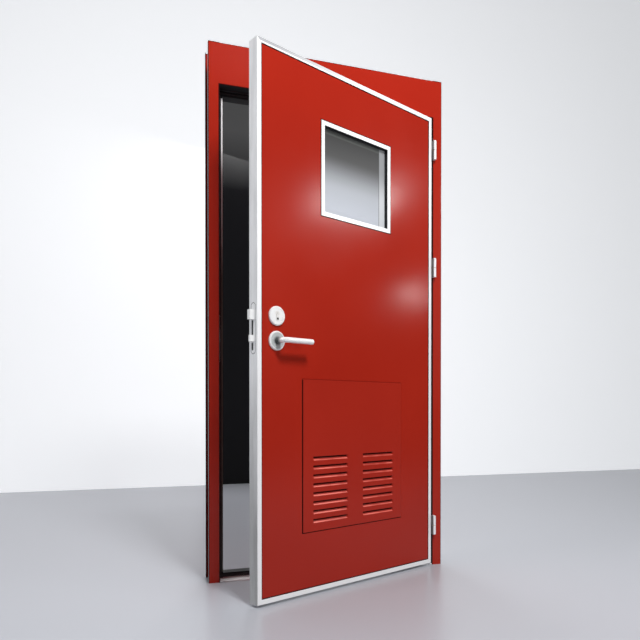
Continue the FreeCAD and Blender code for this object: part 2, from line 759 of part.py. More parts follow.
window_trim = new_body("window_trim_front")
ring(window_trim, "Y", FRONT, SKIN_FRONT, *WINDOW, "window_width", "window_height", "window_trim_face")
keep(window_trim, True)
front_gasket = new_body("window_gasket_front")
ring(front_gasket, "Y", SKIN_FRONT, GLASS_FRONT, *WINDOW, *GASKET)
rear_gasket = new_body("window_gasket_back")
ring(rear_gasket, "Y", GLASS_BACK, BEAD_FRONT, *WINDOW, *GASKET)
group("window_gaskets", [front_gasket, rear_gasket], True)
glass = new_body("window_glass")
pad(glass, "Y", GLASS_FRONT, GLASS_BACK, around(*WINDOW, *SIGHT, "glass_cover"))
keep(glass, True)
bead = new_body("window_trim_back")
ring(bead, "Y", SKIN_BACK, LEAF_BACK, *WINDOW, "window_width", "window_height", "window_trim_face")
pad(bead, "Y", BEAD_FRONT, SKIN_BACK, around(*WINDOW, *SIGHT, "bead_wall"), around(*WINDOW, *SIGHT))
keep(bead, True)
liner = new_body("window_liner")
LINER = (f"({SIGHT[0]}+2*{LINER_OUT})", f"({SIGHT[1]}+2*{LINER_OUT})", "liner_wall")
ring(liner, "Y", SKIN_FRONT, SKIN_BACK, *WINDOW, *LINER)
keep(liner, True)

# The escape panel's opening: a steel surround with four bowed spring clips
PANEL = ("panel_offset", f"({KEY_AXIS}-panel_drop-panel_height/2)")
OPENING = ("(panel_width-2*panel_overlap)", "(panel_height-2*panel_overlap)")
surround = new_body("panel_surround")
SURROUND = (f"({OPENING[0]}+2*liner_wall)", f"({OPENING[1]}+2*liner_wall)", "liner_wall")
ring(surround, "Y", SKIN_FRONT, SKIN_BACK, *PANEL, *SURROUND)
keep(surround, True)

clips = []
for sign in (LATCH, HINGE):
    for end in (LATCH, HINGE):
        clip = new_body("panel_clip")
        foot = f"{PANEL[0]}+({sign})*{OPENING[0]}/2"
        start = f"({LEAF_MID}-clip_reach/2)"
        bow = f"{foot}-({sign})*(panel_clearance-clip_gap)"
        middle = f"{PANEL[1]}+({end})*clip_inset"
        pad(clip, "Z", f"{middle}-clip_width/2", f"{middle}+clip_width/2", [
            (foot, start), (f"{foot}-({sign})*clip_wall", start), (bow, LEAF_MID),
            (f"{foot}-({sign})*clip_wall", f"{start}+clip_reach"), (foot, f"{start}+clip_reach"),
        ])
        clips.append(clip)
group("panel_clips", clips, True)

# The skins and the mineral wool slabs between them
KEY_HOLE = rect(f"{LOCK_X}-cylinder_radius-key_hole_gap", f"{LOCK_X}+cylinder_radius+key_hole_gap",
                f"{KEY_AXIS}-cylinder_drop-key_hole_gap", f"{KEY_AXIS}+cylinder_radius+key_hole_gap")
INNER_EDGE = f"({LEAF_EDGE}-trim_wall)"
INNER_LOW = "(leaf_lift+trim_wall)"
INNER_HIGH = f"({LEAF_TOP}-trim_wall)"
SKINS = {"front": (SKIN_FRONT, f"({SKIN_FRONT}+skin_wall)"), "back": (f"({SKIN_BACK}-skin_wall)", SKIN_BACK)}
for name, walls in SKINS.items():
    skin = new_body(f"leaf_skin_{name}")
    pad(skin, "Y", *walls, rect(f"-{INNER_EDGE}", INNER_EDGE, INNER_LOW, INNER_HIGH),
        around(*WINDOW, *SIGHT, LINER_OUT), around(*PANEL, *OPENING, "liner_wall"),
        (LOCK_X, LOCK_AXIS, "spindle_hole"), KEY_HOLE)
    keep(skin, True)


def slab(label, left, right, low, high):
    """One slab of wool between the skins."""
    box = doc.addObject("Part::Box", label)
    near, far = SKINS["front"][1], SKINS["back"][0]
    places = {"Placement.Base.x": left, "Placement.Base.y": near, "Placement.Base.z": low}
    lengths = {"Length": f"({right})-({left})", "Width": f"{far}-{near}", "Height": f"({high})-({low})"}
    for name, text in {**places, **lengths}.items():
        box.setExpression(name, bound(text))
    return box


WINDOW_SIDE = f"({SIGHT[0]}/2+{LINER_OUT})"
WINDOW_RISE = f"({SIGHT[1]}/2+{LINER_OUT})"
PANEL_SIDE = f"({OPENING[0]}/2+liner_wall)"
PANEL_RISE = f"({OPENING[1]}/2+liner_wall)"
WOOL_EDGE = f"({INNER_EDGE}-backing_wall)"
CASE_LEFT = f"(-{LEAF_EDGE}+faceplate_wall)"
CASE_RIGHT = f"({LOCK_X}+case_beyond)"
LOCK_ROOM_LOW = f"({PLATE_LOW}-faceplate_gap)"
LOCK_ROOM_HIGH = f"({PLATE_HIGH}+faceplate_gap)"
panel_low, panel_high = f"{PANEL[1]}-{PANEL_RISE}", f"{PANEL[1]}+{PANEL_RISE}"
window_low, window_high = f"{WINDOW[1]}-{WINDOW_RISE}", f"{WINDOW[1]}+{WINDOW_RISE}"
left_edge = f"-{INNER_EDGE}"
group("leaf_core", [
    slab("wool_bottom", left_edge, WOOL_EDGE, INNER_LOW, panel_low),
    slab("wool_panel_latch", left_edge, f"{PANEL[0]}-{PANEL_SIDE}", panel_low, panel_high),
    slab("wool_panel_hinge", f"{PANEL[0]}+{PANEL_SIDE}", WOOL_EDGE, panel_low, panel_high),
    slab("wool_below_lock", left_edge, CASE_RIGHT, panel_high, LOCK_ROOM_LOW),
    slab("wool_beside_lock", CASE_RIGHT, WOOL_EDGE, panel_high, window_low),
    slab("wool_above_lock", left_edge, CASE_RIGHT, LOCK_ROOM_HIGH, window_low),
    slab("wool_window_latch", left_edge, f"{WINDOW[0]}-{WINDOW_SIDE}", window_low, window_high),
    slab("wool_window_hinge", f"{WINDOW[0]}+{WINDOW_SIDE}", WOOL_EDGE, window_low, window_high),
    slab("wool_top", left_edge, WOOL_EDGE, window_high, INNER_HIGH),
], True)

# The escape panel: a louvred pan in front, a louvred plate behind, wool round the air duct between them
PANEL_FACE = f"({SKIN_FRONT}-panel_proud)"
LOUVRE_BOTTOM = f"({PANEL[1]}-panel_height/2+louvre_foot)"
LOUVRE_TOP = f"({LOUVRE_BOTTOM}+louvre_opening+(louvre_rows-1)*louvre_pitch)"
LOUVRE_ROW_SIDE = "(panel_width/2-louvre_margin)"


def loft(body, kind, sections):
    """A loft between rectangles drawn across Y, each a place on Y and its outline."""
    sketches = []
    for place, outline in sections:
        sketch = new_sketch(body, "XZ_Plane", f"-({place})")
        draw(sketch, [outline])
        sketches.append(sketch)
    feature = body.newObject(f"PartDesign::{kind}", f"{body.Name}_{kind.lower()}")
    feature.Profile = sketches[0]
    feature.Sections = sketches[1:]
    feature.Ruled = True
    feature.Refine = True
    return feature


def press_louvres(body, face, inwards):
    """Slit the sheet along each louvre's top and press the strip below it inwards, open at the top."""
    features = []
    top = LOUVRE_TOP
    low = f"({top}-louvre_opening)"
    deep = f"({face}+({inwards})*louvre_depth)"
    past = f"({deep}+({inwards})*louvre_land/2)"
    for column in (LATCH, HINGE):
        centre = f"({PANEL[0]}+({column})*({LOUVRE_ROW_SIDE}-louvre_width/2))"
        left, right = f"({centre}-louvre_width/2)", f"({centre}+louvre_width/2)"
        deep_left, deep_right = f"({left}+louvre_end_slant)", f"({right}-louvre_end_slant)"
        wall = "louvre_wall"
        outside = rect(f"{left}-{wall}", f"{right}+{wall}", f"{low}-{wall}", top)
        deep_outside = rect(f"{deep_left}-{wall}", f"{deep_right}+{wall}", f"{top}-{wall}-louvre_land", top)
        inside = rect(left, right, low, f"{top}+louvre_slit")
        deep_inside = rect(deep_left, deep_right, f"{top}-louvre_land", f"{top}+louvre_slit")
        features.append(loft(body, "AdditiveLoft", [(face, outside), (deep, deep_outside)]))
        features.append(loft(body, "SubtractiveLoft", [(face, inside), (past, deep_inside)]))
    doc.recompute()
    pattern = body.newObject("PartDesign::LinearPattern", f"{body.Name}_rows")
    pattern.Originals = features
    axis = next(item for item in body.Origin.OriginFeatures if item.Role == "Z_Axis")
    pattern.Direction = (axis, [""])
    pattern.Reversed = True
    pattern.setExpression("Length", bound("(louvre_rows-1)*louvre_pitch"))
    pattern.setExpression("Occurrences", bound("louvre_rows"))
    body.Tip = pattern


front_plate = new_body("panel_front_plate")
pad(front_plate, "Y", PANEL_FACE, f"{PANEL_FACE}+panel_wall", around(*PANEL, "panel_width", "panel_height"))
RIM = ("panel_width", "panel_height", "panel_wall")
ring(front_plate, "Y", f"{PANEL_FACE}+panel_wall", f"{SKIN_FRONT}-panel_seat", *PANEL, *RIM)


def panel_corners(edge):
    """The four outer corners of the pan, which run along Y."""
    from_middle = abs(edge.BoundBox.XMin - SIZES["panel_offset"])
    in_rim = from_middle > (SIZES["panel_width"] - SIZES["panel_wall"]) / 2
    return in_rim and runs_along(edge, FreeCAD.Vector(0, 1, 0))


soften(front_plate, "Fillet", "Radius", "panel_corner", panel_corners)
press_louvres(front_plate, PANEL_FACE, "1")
keep(front_plate, True)

back_plate = new_body("panel_back_plate")
pad(back_plate, "Y", f"{SKIN_BACK}-panel_wall", SKIN_BACK, around(*PANEL, *OPENING, "-panel_clearance"))
press_louvres(back_plate, SKIN_BACK, "-1")
keep(back_plate, True)

panel_core = new_body("panel_core")
duct_side = f"({LOUVRE_ROW_SIDE}+duct_margin)"
duct = rect(f"{PANEL[0]}-{duct_side}", f"{PANEL[0]}+{duct_side}",
            f"({LOUVRE_BOTTOM}-duct_margin)", f"({LOUVRE_TOP}+duct_margin)")
pad(panel_core, "Y", f"{PANEL_FACE}+panel_wall", f"{SKIN_BACK}-panel_wall",
    around(*PANEL, *OPENING, "-panel_clearance"), duct)
keep(panel_core, True)

# The mortise lock: case and cover, faceplate, latch, dead bolt, follower
CASE_FRONT = f"({LEAF_MID}-case_thickness/2)"
CASE_BACK = f"({LEAF_MID}+case_thickness/2)"
JOURNAL_HOLE = (LOCK_X, LOCK_AXIS, "journal_radius+journal_clearance")


def profile_cut(body, kind, low, high, grow):
    """The profile cylinder's outline along Y: a round body over a narrower web with a round foot."""
    half_web = f"(cylinder_web/2+{grow})"
    foot = f"({KEY_AXIS}-cylinder_drop+cylinder_web/2)"
    web = rect(f"{LOCK_X}-{half_web}", f"{LOCK_X}+{half_web}", foot, KEY_AXIS)
    for outline in ((LOCK_X, KEY_AXIS, f"cylinder_radius+{grow}"), web, (LOCK_X, foot, half_web)):
        extrude(body, kind, "Y", low, high, [outline])


case = new_body("lock_case")
pad(case, "Y", CASE_FRONT, f"{CASE_BACK}-case_wall", rect(CASE_LEFT, CASE_RIGHT, CASE_LOW, CASE_HIGH))
pocket(case, "Y", f"{CASE_FRONT}+case_wall", f"{CASE_BACK}+1",
       rect(f"{CASE_LEFT}-1", f"{CASE_RIGHT}-case_wall", f"{CASE_LOW}+case_wall", f"{CASE_HIGH}-case_wall"))
pocket(case, "Y", f"{CASE_FRONT}-1", f"{CASE_FRONT}+case_wall+1", JOURNAL_HOLE)
profile_cut(case, "Pocket", f"{CASE_FRONT}-1", f"{CASE_FRONT}+case_wall+1", "cylinder_clearance")
keep(case, True)

cover = new_body("lock_cover")
pad(cover, "Y", f"{CASE_BACK}-case_wall", CASE_BACK, rect(CASE_LEFT, CASE_RIGHT, CASE_LOW, CASE_HIGH))
pocket(cover, "Y", f"{CASE_BACK}-case_wall-1", f"{CASE_BACK}+1", JOURNAL_HOLE)
profile_cut(cover, "Pocket", f"{CASE_BACK}-case_wall-1", f"{CASE_BACK}+1", "cylinder_clearance")
keep(cover, True)

faceplate = new_body("lock_faceplate")
slot_window(faceplate, "Pad", f"-{LEAF_EDGE}", f"-{LEAF_EDGE}+faceplate_wall", "0")
bolt_window(faceplate, LATCH, "bolt_clearance", f"{LEAF_EDGE}-faceplate_wall-1", f"{LEAF_EDGE}+1")
face_screws = []
for height in (f"{PLATE_LOW}+faceplate_screw_inset", f"{PLATE_HIGH}-faceplate_screw_inset"):
    spot = (LEAF_MID, height, "faceplate_screw_radius")
    pocket(faceplate, "X", f"-{LEAF_EDGE}-1", f"-{LEAF_EDGE}+faceplate_wall+1", spot)
    screw = new_body("faceplate_screw")
    pad(screw, "X", f"-{LEAF_EDGE}", f"-{LEAF_EDGE}+faceplate_wall", spot)
    face_screws.append(screw)
keep(faceplate, True)
group("faceplate_screws", face_screws, True)

NOSE = f"(-{LEAF_EDGE}-bolt_throw)"
SHANK = f"(-{LEAF_EDGE}+bolt_shank)"
BOLT_NEAR, BOLT_FAR = f"({LEAF_MID}-bolt_thickness/2)", f"({LEAF_MID}+bolt_thickness/2)"
TAIL = (f"({LEAF_MID}-tail_wall/2)", f"({LEAF_MID}+tail_wall/2)")


def bolt_tail(body, foot, arm, notch_left, notch_right, notch_top, bridge, low, high):
    """A flat tail behind a bolt: an arm down to the shank and a bridge with a notch open below."""
    pad(body, "Y", *TAIL, [
        (f"{SHANK}-tail_root", foot), (f"{SHANK}+{arm}", foot), (f"{SHANK}+{arm}", low),
        (notch_left, low), (notch_left, notch_top), (notch_right, notch_top), (notch_right, low),
        (f"{notch_right}+{bridge}", low), (f"{notch_right}+{bridge}", high), (f"{SHANK}-tail_root", high),
    ])


latch = new_body("latch_bolt")
pad(latch, "Z", f"({LATCH_MIDDLE}-latch_rise/2)", f"({LATCH_MIDDLE}+latch_rise/2)", [
    (NOSE, BOLT_NEAR), (SHANK, BOLT_NEAR), (SHANK, BOLT_FAR),
    (f"-{LEAF_EDGE}-latch_lead", BOLT_FAR), (NOSE, f"{BOLT_NEAR}+latch_nose"),
])
latch_tail = f"({LOCK_AXIS}+follower_radius+tail_clearance)"
finger_room = "(finger_tip_radius+finger_gap)"
bolt_tail(latch, f"{LOCK_AXIS}-tail_drop", "latch_arm", f"({LOCK_X}-latch_notch_back)",
          f"({LOCK_X}+{finger_room})", f"({LOCK_AXIS}+finger_reach+{finger_room})",
          "latch_bridge", latch_tail, f"({latch_tail}+tail_height)")
keep(latch, True)

dead_bolt = new_body("dead_bolt")
pad(dead_bolt, "Y", BOLT_NEAR, BOLT_FAR,
    around(f"(({NOSE}+{SHANK})/2)", DEAD_BOLT_MIDDLE, f"({SHANK}-{NOSE})", "dead_bolt_rise"))
cam_place = f"({LOCK_X}-cam_reach*sin(cam_lean))"
cam_room = "(cam_tip_radius+cam_gap)"
dead_tail = f"({KEY_AXIS}+cylinder_radius+dead_tail_clearance)"
bolt_tail(dead_bolt, f"{KEY_AXIS}-tail_drop", "dead_arm", f"({cam_place}-{cam_room})",
          f"({cam_place}+{cam_room})", f"({KEY_AXIS}+cam_reach+{cam_room})",
          "dead_bridge", dead_tail, f"({dead_tail}+dead_tail_height)")
keep(dead_bolt, True)

SPINDLE = around(LOCK_X, LOCK_AXIS, "spindle_side", "spindle_side")
follower = new_body("lock_follower")
pad(follower, "Y", CASE_FRONT, CASE_BACK, (LOCK_X, LOCK_AXIS, "journal_radius"))
pad(follower, "Y", BOLT_NEAR, BOLT_FAR, (LOCK_X, LOCK_AXIS, "follower_radius"))
finger_end = f"{LOCK_AXIS}+finger_reach"
pad(follower, "Y", *TAIL,
    rect(f"{LOCK_X}-finger_half_width", f"{LOCK_X}+finger_half_width", LOCK_AXIS, finger_end))
pad(follower, "Y", *TAIL, (LOCK_X, finger_end, "finger_tip_radius"))
pocket(follower, "Y", f"{CASE_FRONT}-1", f"{CASE_BACK}+1", SPINDLE)
keep(follower, True)

# The roses, levers and spindle, the same outside and inside


def above_skin(face, height):
    """A place on Y at a height above the leaf's skin, on the outside or the inside."""
    skin = SKIN_FRONT if face == OUTSIDE else SKIN_BACK
    return f"({skin}+({face})*({height}))"


def between(face, near, far):
    """Two heights above the skin as a low and a high place on Y."""
    places = [above_skin(face, near), above_skin(face, far)]
    return places[::-1] if face == OUTSIDE else places


def rose(label, face, height, bore):
    body = new_body(label)
    shape = [
        (bore, "rose_rise"), ("rose_radius-rose_chamfer", "rose_rise"),
        ("rose_radius", "rose_rise-rose_chamfer"),
        ("rose_radius", "0"), ("rose_radius-rose_wall", "0"),
        ("rose_radius-rose_wall", "rose_rise-rose_chamfer-rose_wall/2"),
        ("rose_radius-rose_chamfer-rose_wall/2", "rose_rise-rose_wall"), (bore, "rose_rise-rose_wall"),
    ]
    corners = [(across, above_skin(face, up)) for across, up in shape]
    revolve(body, "Revolution", LOCK_X, height, corners)
    return body


def lever(label, face):
    """A round bar, bent from the neck that takes the spindle to run along the leaf."""
    body = new_body(label)
    bend_start = above_skin(face, "handle_standoff-handle_bend")
    neck = between(face, "neck_start", "handle_standoff-handle_bend")
    pad(body, "Y", *neck, (LOCK_X, LOCK_AXIS, "neck_radius"))
    sketch = new_sketch(body, "XZ_Plane", f"-({bend_start})", f"{LOCK_X}+handle_bend")
    draw_circle(sketch, "-handle_bend", LOCK_AXIS, "neck_radius")
    bend = body.newObject("PartDesign::Revolution", f"{label}_bend")
    bend.Profile = sketch
    bend.ReferenceAxis = (sketch, ["V_Axis"])
    bend.Angle = 90
    bend.Reversed = face == INSIDE
    bar_axis = above_skin(face, "handle_standoff")
    pad(body, "X", f"{LOCK_X}+handle_bend", f"{LOCK_X}+handle_length", (bar_axis, LOCK_AXIS, "neck_radius"))
    middle = SIZES["backset"] + SIZES["handle_length"] / 2 - SIZES["leaf_width"] / 2
    soften(body, "Fillet", "Radius", "handle_round",
           lambda edge: edge.BoundBox.XMin > middle and edge.BoundBox.XLength < 0.1)
    pocket(body, "Y", *between(face, "neck_start-1", "spindle_reach"), SPINDLE)
    return body


for name, face in (("outside", OUTSIDE), ("inside", INSIDE)):
    keep(rose(f"lever_rose_{name}", face, LOCK_AXIS, "neck_radius+neck_clearance"), True)
    plate = rose(f"cylinder_rose_{name}", face, f"({KEY_AXIS}-rose_drop)", "0")
    profile_cut(plate, "Pocket", *between(face, "-1", "rose_rise+1"), "cylinder_clearance")
    keep(plate, True)
    keep(lever(f"lever_{name}", face), True)

spindle = new_body("lever_spindle")
pad(spindle, "Y", above_skin(OUTSIDE, "spindle_reach"), above_skin(INSIDE, "spindle_reach"), SPINDLE)
keep(spindle, True)

# The profile cylinder: its body, the key plug outside, the cam in its slot, the thumb turn inside
CYLINDER_RISE = "(rose_rise+cylinder_proud)"
KEY_END, THUMB_END = above_skin(OUTSIDE, CYLINDER_RISE), above_skin(INSIDE, CYLINDER_RISE)
CAM_NEAR, CAM_FAR = f"({LEAF_MID}-cam_hub_wall/2)", f"({LEAF_MID}+cam_hub_wall/2)"
cylinder = new_body("cylinder_body")
profile_cut(cylinder, "Pad", KEY_END, THUMB_END, "0")
pocket(cylinder, "Y", f"{KEY_END}-1", f"{THUMB_END}+1", (LOCK_X, KEY_AXIS, "plug_radius+plug_clearance"))
pocket(cylinder, "Y", f"{LEAF_MID}-cylinder_slot/2", f"{LEAF_MID}+cylinder_slot/2",
       rect(f"{LOCK_X}-cylinder_radius-1", f"{LOCK_X}+cylinder_radius+1",
            f"{KEY_AXIS}-cylinder_drop+cylinder_bridge", f"{KEY_AXIS}+cylinder_radius+1"))
keep(cylinder, True)

plug = new_body("key_plug")
pad(plug, "Y", KEY_END, CAM_NEAR, (LOCK_X, KEY_AXIS, "plug_radius"))
pocket(plug, "Y", f"{KEY_END}-1", f"{KEY_END}+key_slot_depth",
       around(LOCK_X, KEY_AXIS, "key_slot_width", "key_slot_height"))
keep(plug, True)

cam = new_body("cylinder_cam")
pad(cam, "Y", CAM_NEAR, CAM_FAR, (LOCK_X, KEY_AXIS, "cam_hub_radius"))
tip_x, tip_z = cam_place, f"({KEY_AXIS}+cam_reach*cos(cam_lean))"
lean_x, lean_z = "cam_half_width*cos(cam_lean)", "cam_half_width*sin(cam_lean)"
pad(cam, "Y", *TAIL, [
    (f"{LOCK_X}-{lean_x}", f"{KEY_AXIS}-{lean_z}"), (f"{LOCK_X}+{lean_x}", f"{KEY_AXIS}+{lean_z}"),
    (f"{tip_x}+{lean_x}", f"{tip_z}+{lean_z}"), (f"{tip_x}-{lean_x}", f"{tip_z}-{lean_z}"),
])
pad(cam, "Y", *TAIL, (tip_x, tip_z, "cam_tip_radius"))
keep(cam, True)

thumb = new_body("thumb_turn")
KNOB = f"({THUMB_END}+thumb_gap)"
pad(thumb, "Y", CAM_FAR, KNOB, (LOCK_X, KEY_AXIS, "plug_radius"))
pad(thumb, "Y", KNOB, f"{KNOB}+thumb_wall", (LOCK_X, KEY_AXIS, "thumb_radius"))
pad(thumb, "Y", f"{KNOB}+thumb_wall", f"{KNOB}+thumb_length",
    around(LOCK_X, KEY_AXIS, "thumb_wall", "thumb_grip"))
keep(thumb, True)

# Everything built is checked before anything is written
doc.recompute()
for item in doc.Objects:
    if "Invalid" in item.State or "Error" in item.State:
        raise RuntimeError(f"{item.Label} is {item.State}")
for piece in nodes:
    if piece.Shape.isNull() or not piece.Shape.isValid():
        raise RuntimeError(f"{piece.Label} has no sound shape")

os.makedirs("parts", exist_ok=True)
for piece in nodes:
    piece.Shape.exportStep(f"parts/{piece.Label}.step")
print(len(nodes), "nodes")
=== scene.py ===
import math

import bmesh
import bpy
import numpy as np
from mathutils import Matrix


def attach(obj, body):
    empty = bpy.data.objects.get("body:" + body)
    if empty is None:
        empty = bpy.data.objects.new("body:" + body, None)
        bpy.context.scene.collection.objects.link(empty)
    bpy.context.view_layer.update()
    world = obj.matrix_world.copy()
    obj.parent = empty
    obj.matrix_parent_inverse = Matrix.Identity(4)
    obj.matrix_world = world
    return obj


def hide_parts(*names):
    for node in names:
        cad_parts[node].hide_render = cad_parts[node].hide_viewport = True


# Marine fire door, dressed for the picture. Metres, +Z up, the leaf standing open in the frame.

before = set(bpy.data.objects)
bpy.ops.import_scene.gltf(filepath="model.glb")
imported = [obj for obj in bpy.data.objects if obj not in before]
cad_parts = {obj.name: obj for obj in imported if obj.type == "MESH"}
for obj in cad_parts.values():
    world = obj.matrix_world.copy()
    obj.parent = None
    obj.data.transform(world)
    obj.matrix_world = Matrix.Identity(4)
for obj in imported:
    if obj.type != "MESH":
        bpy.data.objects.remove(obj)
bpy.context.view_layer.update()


# The frame: two jambs and a head, folded from 2 mm steel and painted in the shop. The face and the back
# flange get the door's red enamel. The rebate, the stop and the soffit are coloured dull black, painted
# shade for the deep recess, and a dark line of painted shade runs along the inner and the outer folds.

def finish_named(name, **sockets):
    """A material with one Principled shader, whose sockets get the given plain numbers and colours."""
    made = bpy.data.materials.new(name)
    made.use_nodes = True
    shader = made.node_tree.nodes["Principled BSDF"]
    for socket, value in sockets.items():
        shader.inputs[socket.replace("_", " ")].default_value = value
    return made, made.node_tree, shader


def node(tree, kind, inputs, **settings):
    """One shader node. Each input is another node's output, or a number or colour of its own."""
    made = tree.nodes.new("ShaderNode" + kind)
    for name, value in settings.items():
        setattr(made, name, value)
    for name, value in inputs.items():
        if isinstance(value, bpy.types.NodeSocket):
            tree.links.new(value, made.inputs[name])
        else:
            made.inputs[name].default_value = value
    return made


def worked(tree, operation, *values):
    """The result of one sum on the values, such as MULTIPLY, LESS_THAN or MAXIMUM."""
    return node(tree, "Math", dict(enumerate(values)), operation=operation).outputs[0]


def apart(tree, value, middle=0.0):
    """How far the value is from the middle, either way."""
    return worked(tree, "ABSOLUTE", worked(tree, "SUBTRACT", value, middle))


def inside(tree, value, limit, middle=0.0):
    """1 where the value is nearer to the middle than the limit, and 0 beyond it."""
    return worked(tree, "LESS_THAN", apart(tree, value, middle), limit)


def between(tree, amount, low, high, start=0.0, end=1.0, **settings):
    """A straight rise from low to high as the amount goes from start to end, level outside."""
    inputs = {"Value": amount, "From Min": start, "From Max": end, "To Min": low, "To Max": high}
    return node(tree, "MapRange", inputs, **settings).outputs["Result"]


def place_on_frame(tree):
    """Where a point is, in metres in the frame's own directions."""
    return tree.nodes.new("ShaderNodeTexCoord").outputs["Object"]


def parted(tree, place):
    """A place taken apart: how far across the door, how far through it, and how high."""
    return tuple(node(tree, "SeparateXYZ", {"Vector": place}).outputs)


def noise(tree, place, scale, detail=3, roughness=0.55):
    """Cloudy noise from 0 to 1, with about scale lumps to the metre."""
    inputs = {"Vector": place, "Scale": scale, "Detail": detail, "Roughness": roughness}
    return node(tree, "TexNoise", inputs).outputs["Fac"]


def mixed(tree, amount, first, second):
    """One colour turning into another as the amount goes from 0 to 1."""
    made = node(tree, "Mix", {}, data_type="RGBA")
    for socket, value in ((made.inputs[0], amount), (made.inputs[6], first), (made.inputs[7], second)):
        if isinstance(value, bpy.types.NodeSocket):
            tree.links.new(value, socket)
        else:
            socket.default_value = value
    return made.outputs[2]


def bumped(tree, height, distance, strength=1.0):
    """A surface direction from a height of 0 to 1 over the given distance in metres."""
    inputs = {"Height": height, "Distance": distance, "Strength": strength}
    return node(tree, "Bump", inputs).outputs["Normal"]


def join(tree, shader, **sockets):
    """Join the named sockets of the shader to the outputs given for them."""
    for socket, output in sockets.items():
        tree.links.new(output, shader.inputs[socket.replace("_", " ")])


def dress(finish, *names):
    """Give the solids of these names the finish, in every slot they have."""
    for name in names:
        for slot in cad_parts[name].material_slots:
            slot.material = finish


ENAMEL_BRIGHT = (0.350, 0.0175, 0.0075, 1)
ENAMEL_DEEP = (0.310, 0.0140, 0.0058, 1)


def enamel(name, place_of):
    """Red semi-gloss enamel: two reds in broad clouds, a fine sprayed surface and a soft shine."""
    made, tree, shader = finish_named(name, IOR=1.45, Specular_IOR_Level=0.34)
    place = place_of(tree)
    clouds = noise(tree, place, 1.6, detail=2)
    red = mixed(tree, between(tree, clouds, 0.0, 1.0, 0.3, 0.7), ENAMEL_DEEP, ENAMEL_BRIGHT)
    peel = noise(tree, place, 90, detail=0)
    shine = between(tree, noise(tree, place, 6, detail=2), 0.17, 0.21, 0.3, 0.7)
    join(tree, shader, Base_Color=red, Roughness=shine, Normal=bumped(tree, peel, 0.00004, 0.2))
    return made, tree, shader, place, red


REBATE_SHADE = (0.008, 0.008, 0.009, 1)
FOLD_SHADE = (0.045, 0.004, 0.003, 1)
REBATE_DEPTH, REBATE_SIDE, REBATE_TOP = 0.049, 0.4795, 2.0155
INNER_FOLD_SIDE, INNER_FOLD_TOP = 0.4828, 2.0178
OUTER_FOLD_SIDE, OUTER_FOLD_TOP = (0.5205, 0.5225), (2.178, 2.18)

frame_paint, tree, shader, place, red = enamel("frame_paint", place_on_frame)
across, through, height = parted(tree, place)
# Painted shade: black in the rebate, the stop and the soffit, and a dark line along the folds.
in_mouth = worked(tree, "MULTIPLY", inside(tree, through, REBATE_DEPTH), inside(tree, across, REBATE_SIDE))
in_rebate = worked(tree, "MULTIPLY", in_mouth, worked(tree, "LESS_THAN", height, REBATE_TOP))
outer_side = between(tree, apart(tree, across), 0, 1, *OUTER_FOLD_SIDE)
outer_fold = worked(tree, "MAXIMUM", outer_side, between(tree, height, 0, 1, *OUTER_FOLD_TOP))
under_head = worked(tree, "LESS_THAN", height, INNER_FOLD_TOP)
inner_fold = worked(tree, "MULTIPLY", inside(tree, across, INNER_FOLD_SIDE), under_head)
red = mixed(tree, worked(tree, "MAXIMUM", outer_fold, inner_fold), red, FOLD_SHADE)
join(tree, shader, Base_Color=mixed(tree, in_rebate, red, REBATE_SHADE),
     Roughness=between(tree, in_rebate, 0.2, 0.75))
dress(frame_paint, "frame_jamb_latch", "frame_jamb_hinge", "frame_head")


# The sill: a base plate bedded on the deck and a tread folded over it in grained stainless, with three
# grooves against slipping and an upstand for the seal. The upstand is black with the rebate, painted shade.

STEEL_BRIGHT = (0.98, 0.98, 0.985, 1)
STEEL_DARK = (0.882, 0.882, 0.8865, 1)
STEEL_METALLIC = 0.2
GRAIN_LEVEL = (3, 700, 700)
UPSTAND_FOOT = 0.0075
UPSTAND_SHADE = (0.03, 0.03, 0.03, 1)


def stretched(tree, place, scale):
    """The place times a scale of its own on each axis, so that a noise on it runs into streaks."""
    return node(tree, "Mapping", {"Vector": place, "Scale": scale}).outputs["Vector"]


def stainless(name, place_of, grain, low=0.28, high=0.42):
    """Stainless sheet with the grain of the mill's brushing, stretched along one axis of the piece."""
    made, tree, shader = finish_named(name, Metallic=STEEL_METALLIC)
    place = place_of(tree)
    streaks = noise(tree, stretched(tree, place, grain), 1, detail=4, roughness=0.65)
    smudges = noise(tree, place, 9, detail=3)
    colour = mixed(tree, between(tree, streaks, 0.0, 1.0, 0.3, 0.7), STEEL_DARK, STEEL_BRIGHT)
    rough = worked(tree, "ADD", between(tree, streaks, low, high, 0.3, 0.7),
                   between(tree, smudges, -0.03, 0.05, 0.35, 0.7))
    join(tree, shader, Base_Color=colour, Roughness=rough, Normal=bumped(tree, streaks, 0.00006, 0.35))
    return made, tree, shader, place


def given(shader, socket):
    """What is joined to a socket of the shader so far."""
    return shader.inputs[socket].links[0].from_socket


tread_steel, tree, shader, place = stainless("tread_steel", place_on_frame, GRAIN_LEVEL)
# The upstand's black is painted shade.
upstand = worked(tree, "GREATER_THAN", parted(tree, place)[2], UPSTAND_FOOT)
join(tree, shader, Base_Color=mixed(tree, upstand, given(shader, "Base Color"), UPSTAND_SHADE),
     Metallic=between(tree, upstand, STEEL_METALLIC, 0.0))
dress(tread_steel, "sill_tread", "sill_base")


# The seal against smoke: a rubber section with a rolled lip, held in an aluminium carrier all round the
# stop, with strips in the rebate that swell in a fire. The carrier is bare on the jambs, bright above and
# darkened below by painted shade, and black at the head and the sill with the rebate's painted shade.

BARE_MIDDLE, BARE_HALF = 1.007, 0.978
SHADED_UP_TO = (1.25, 1.8)
CARRIER_SHADE = (0.07, 0.06, 0.045, 1)
SHADE_ROUGHNESS = 0.9

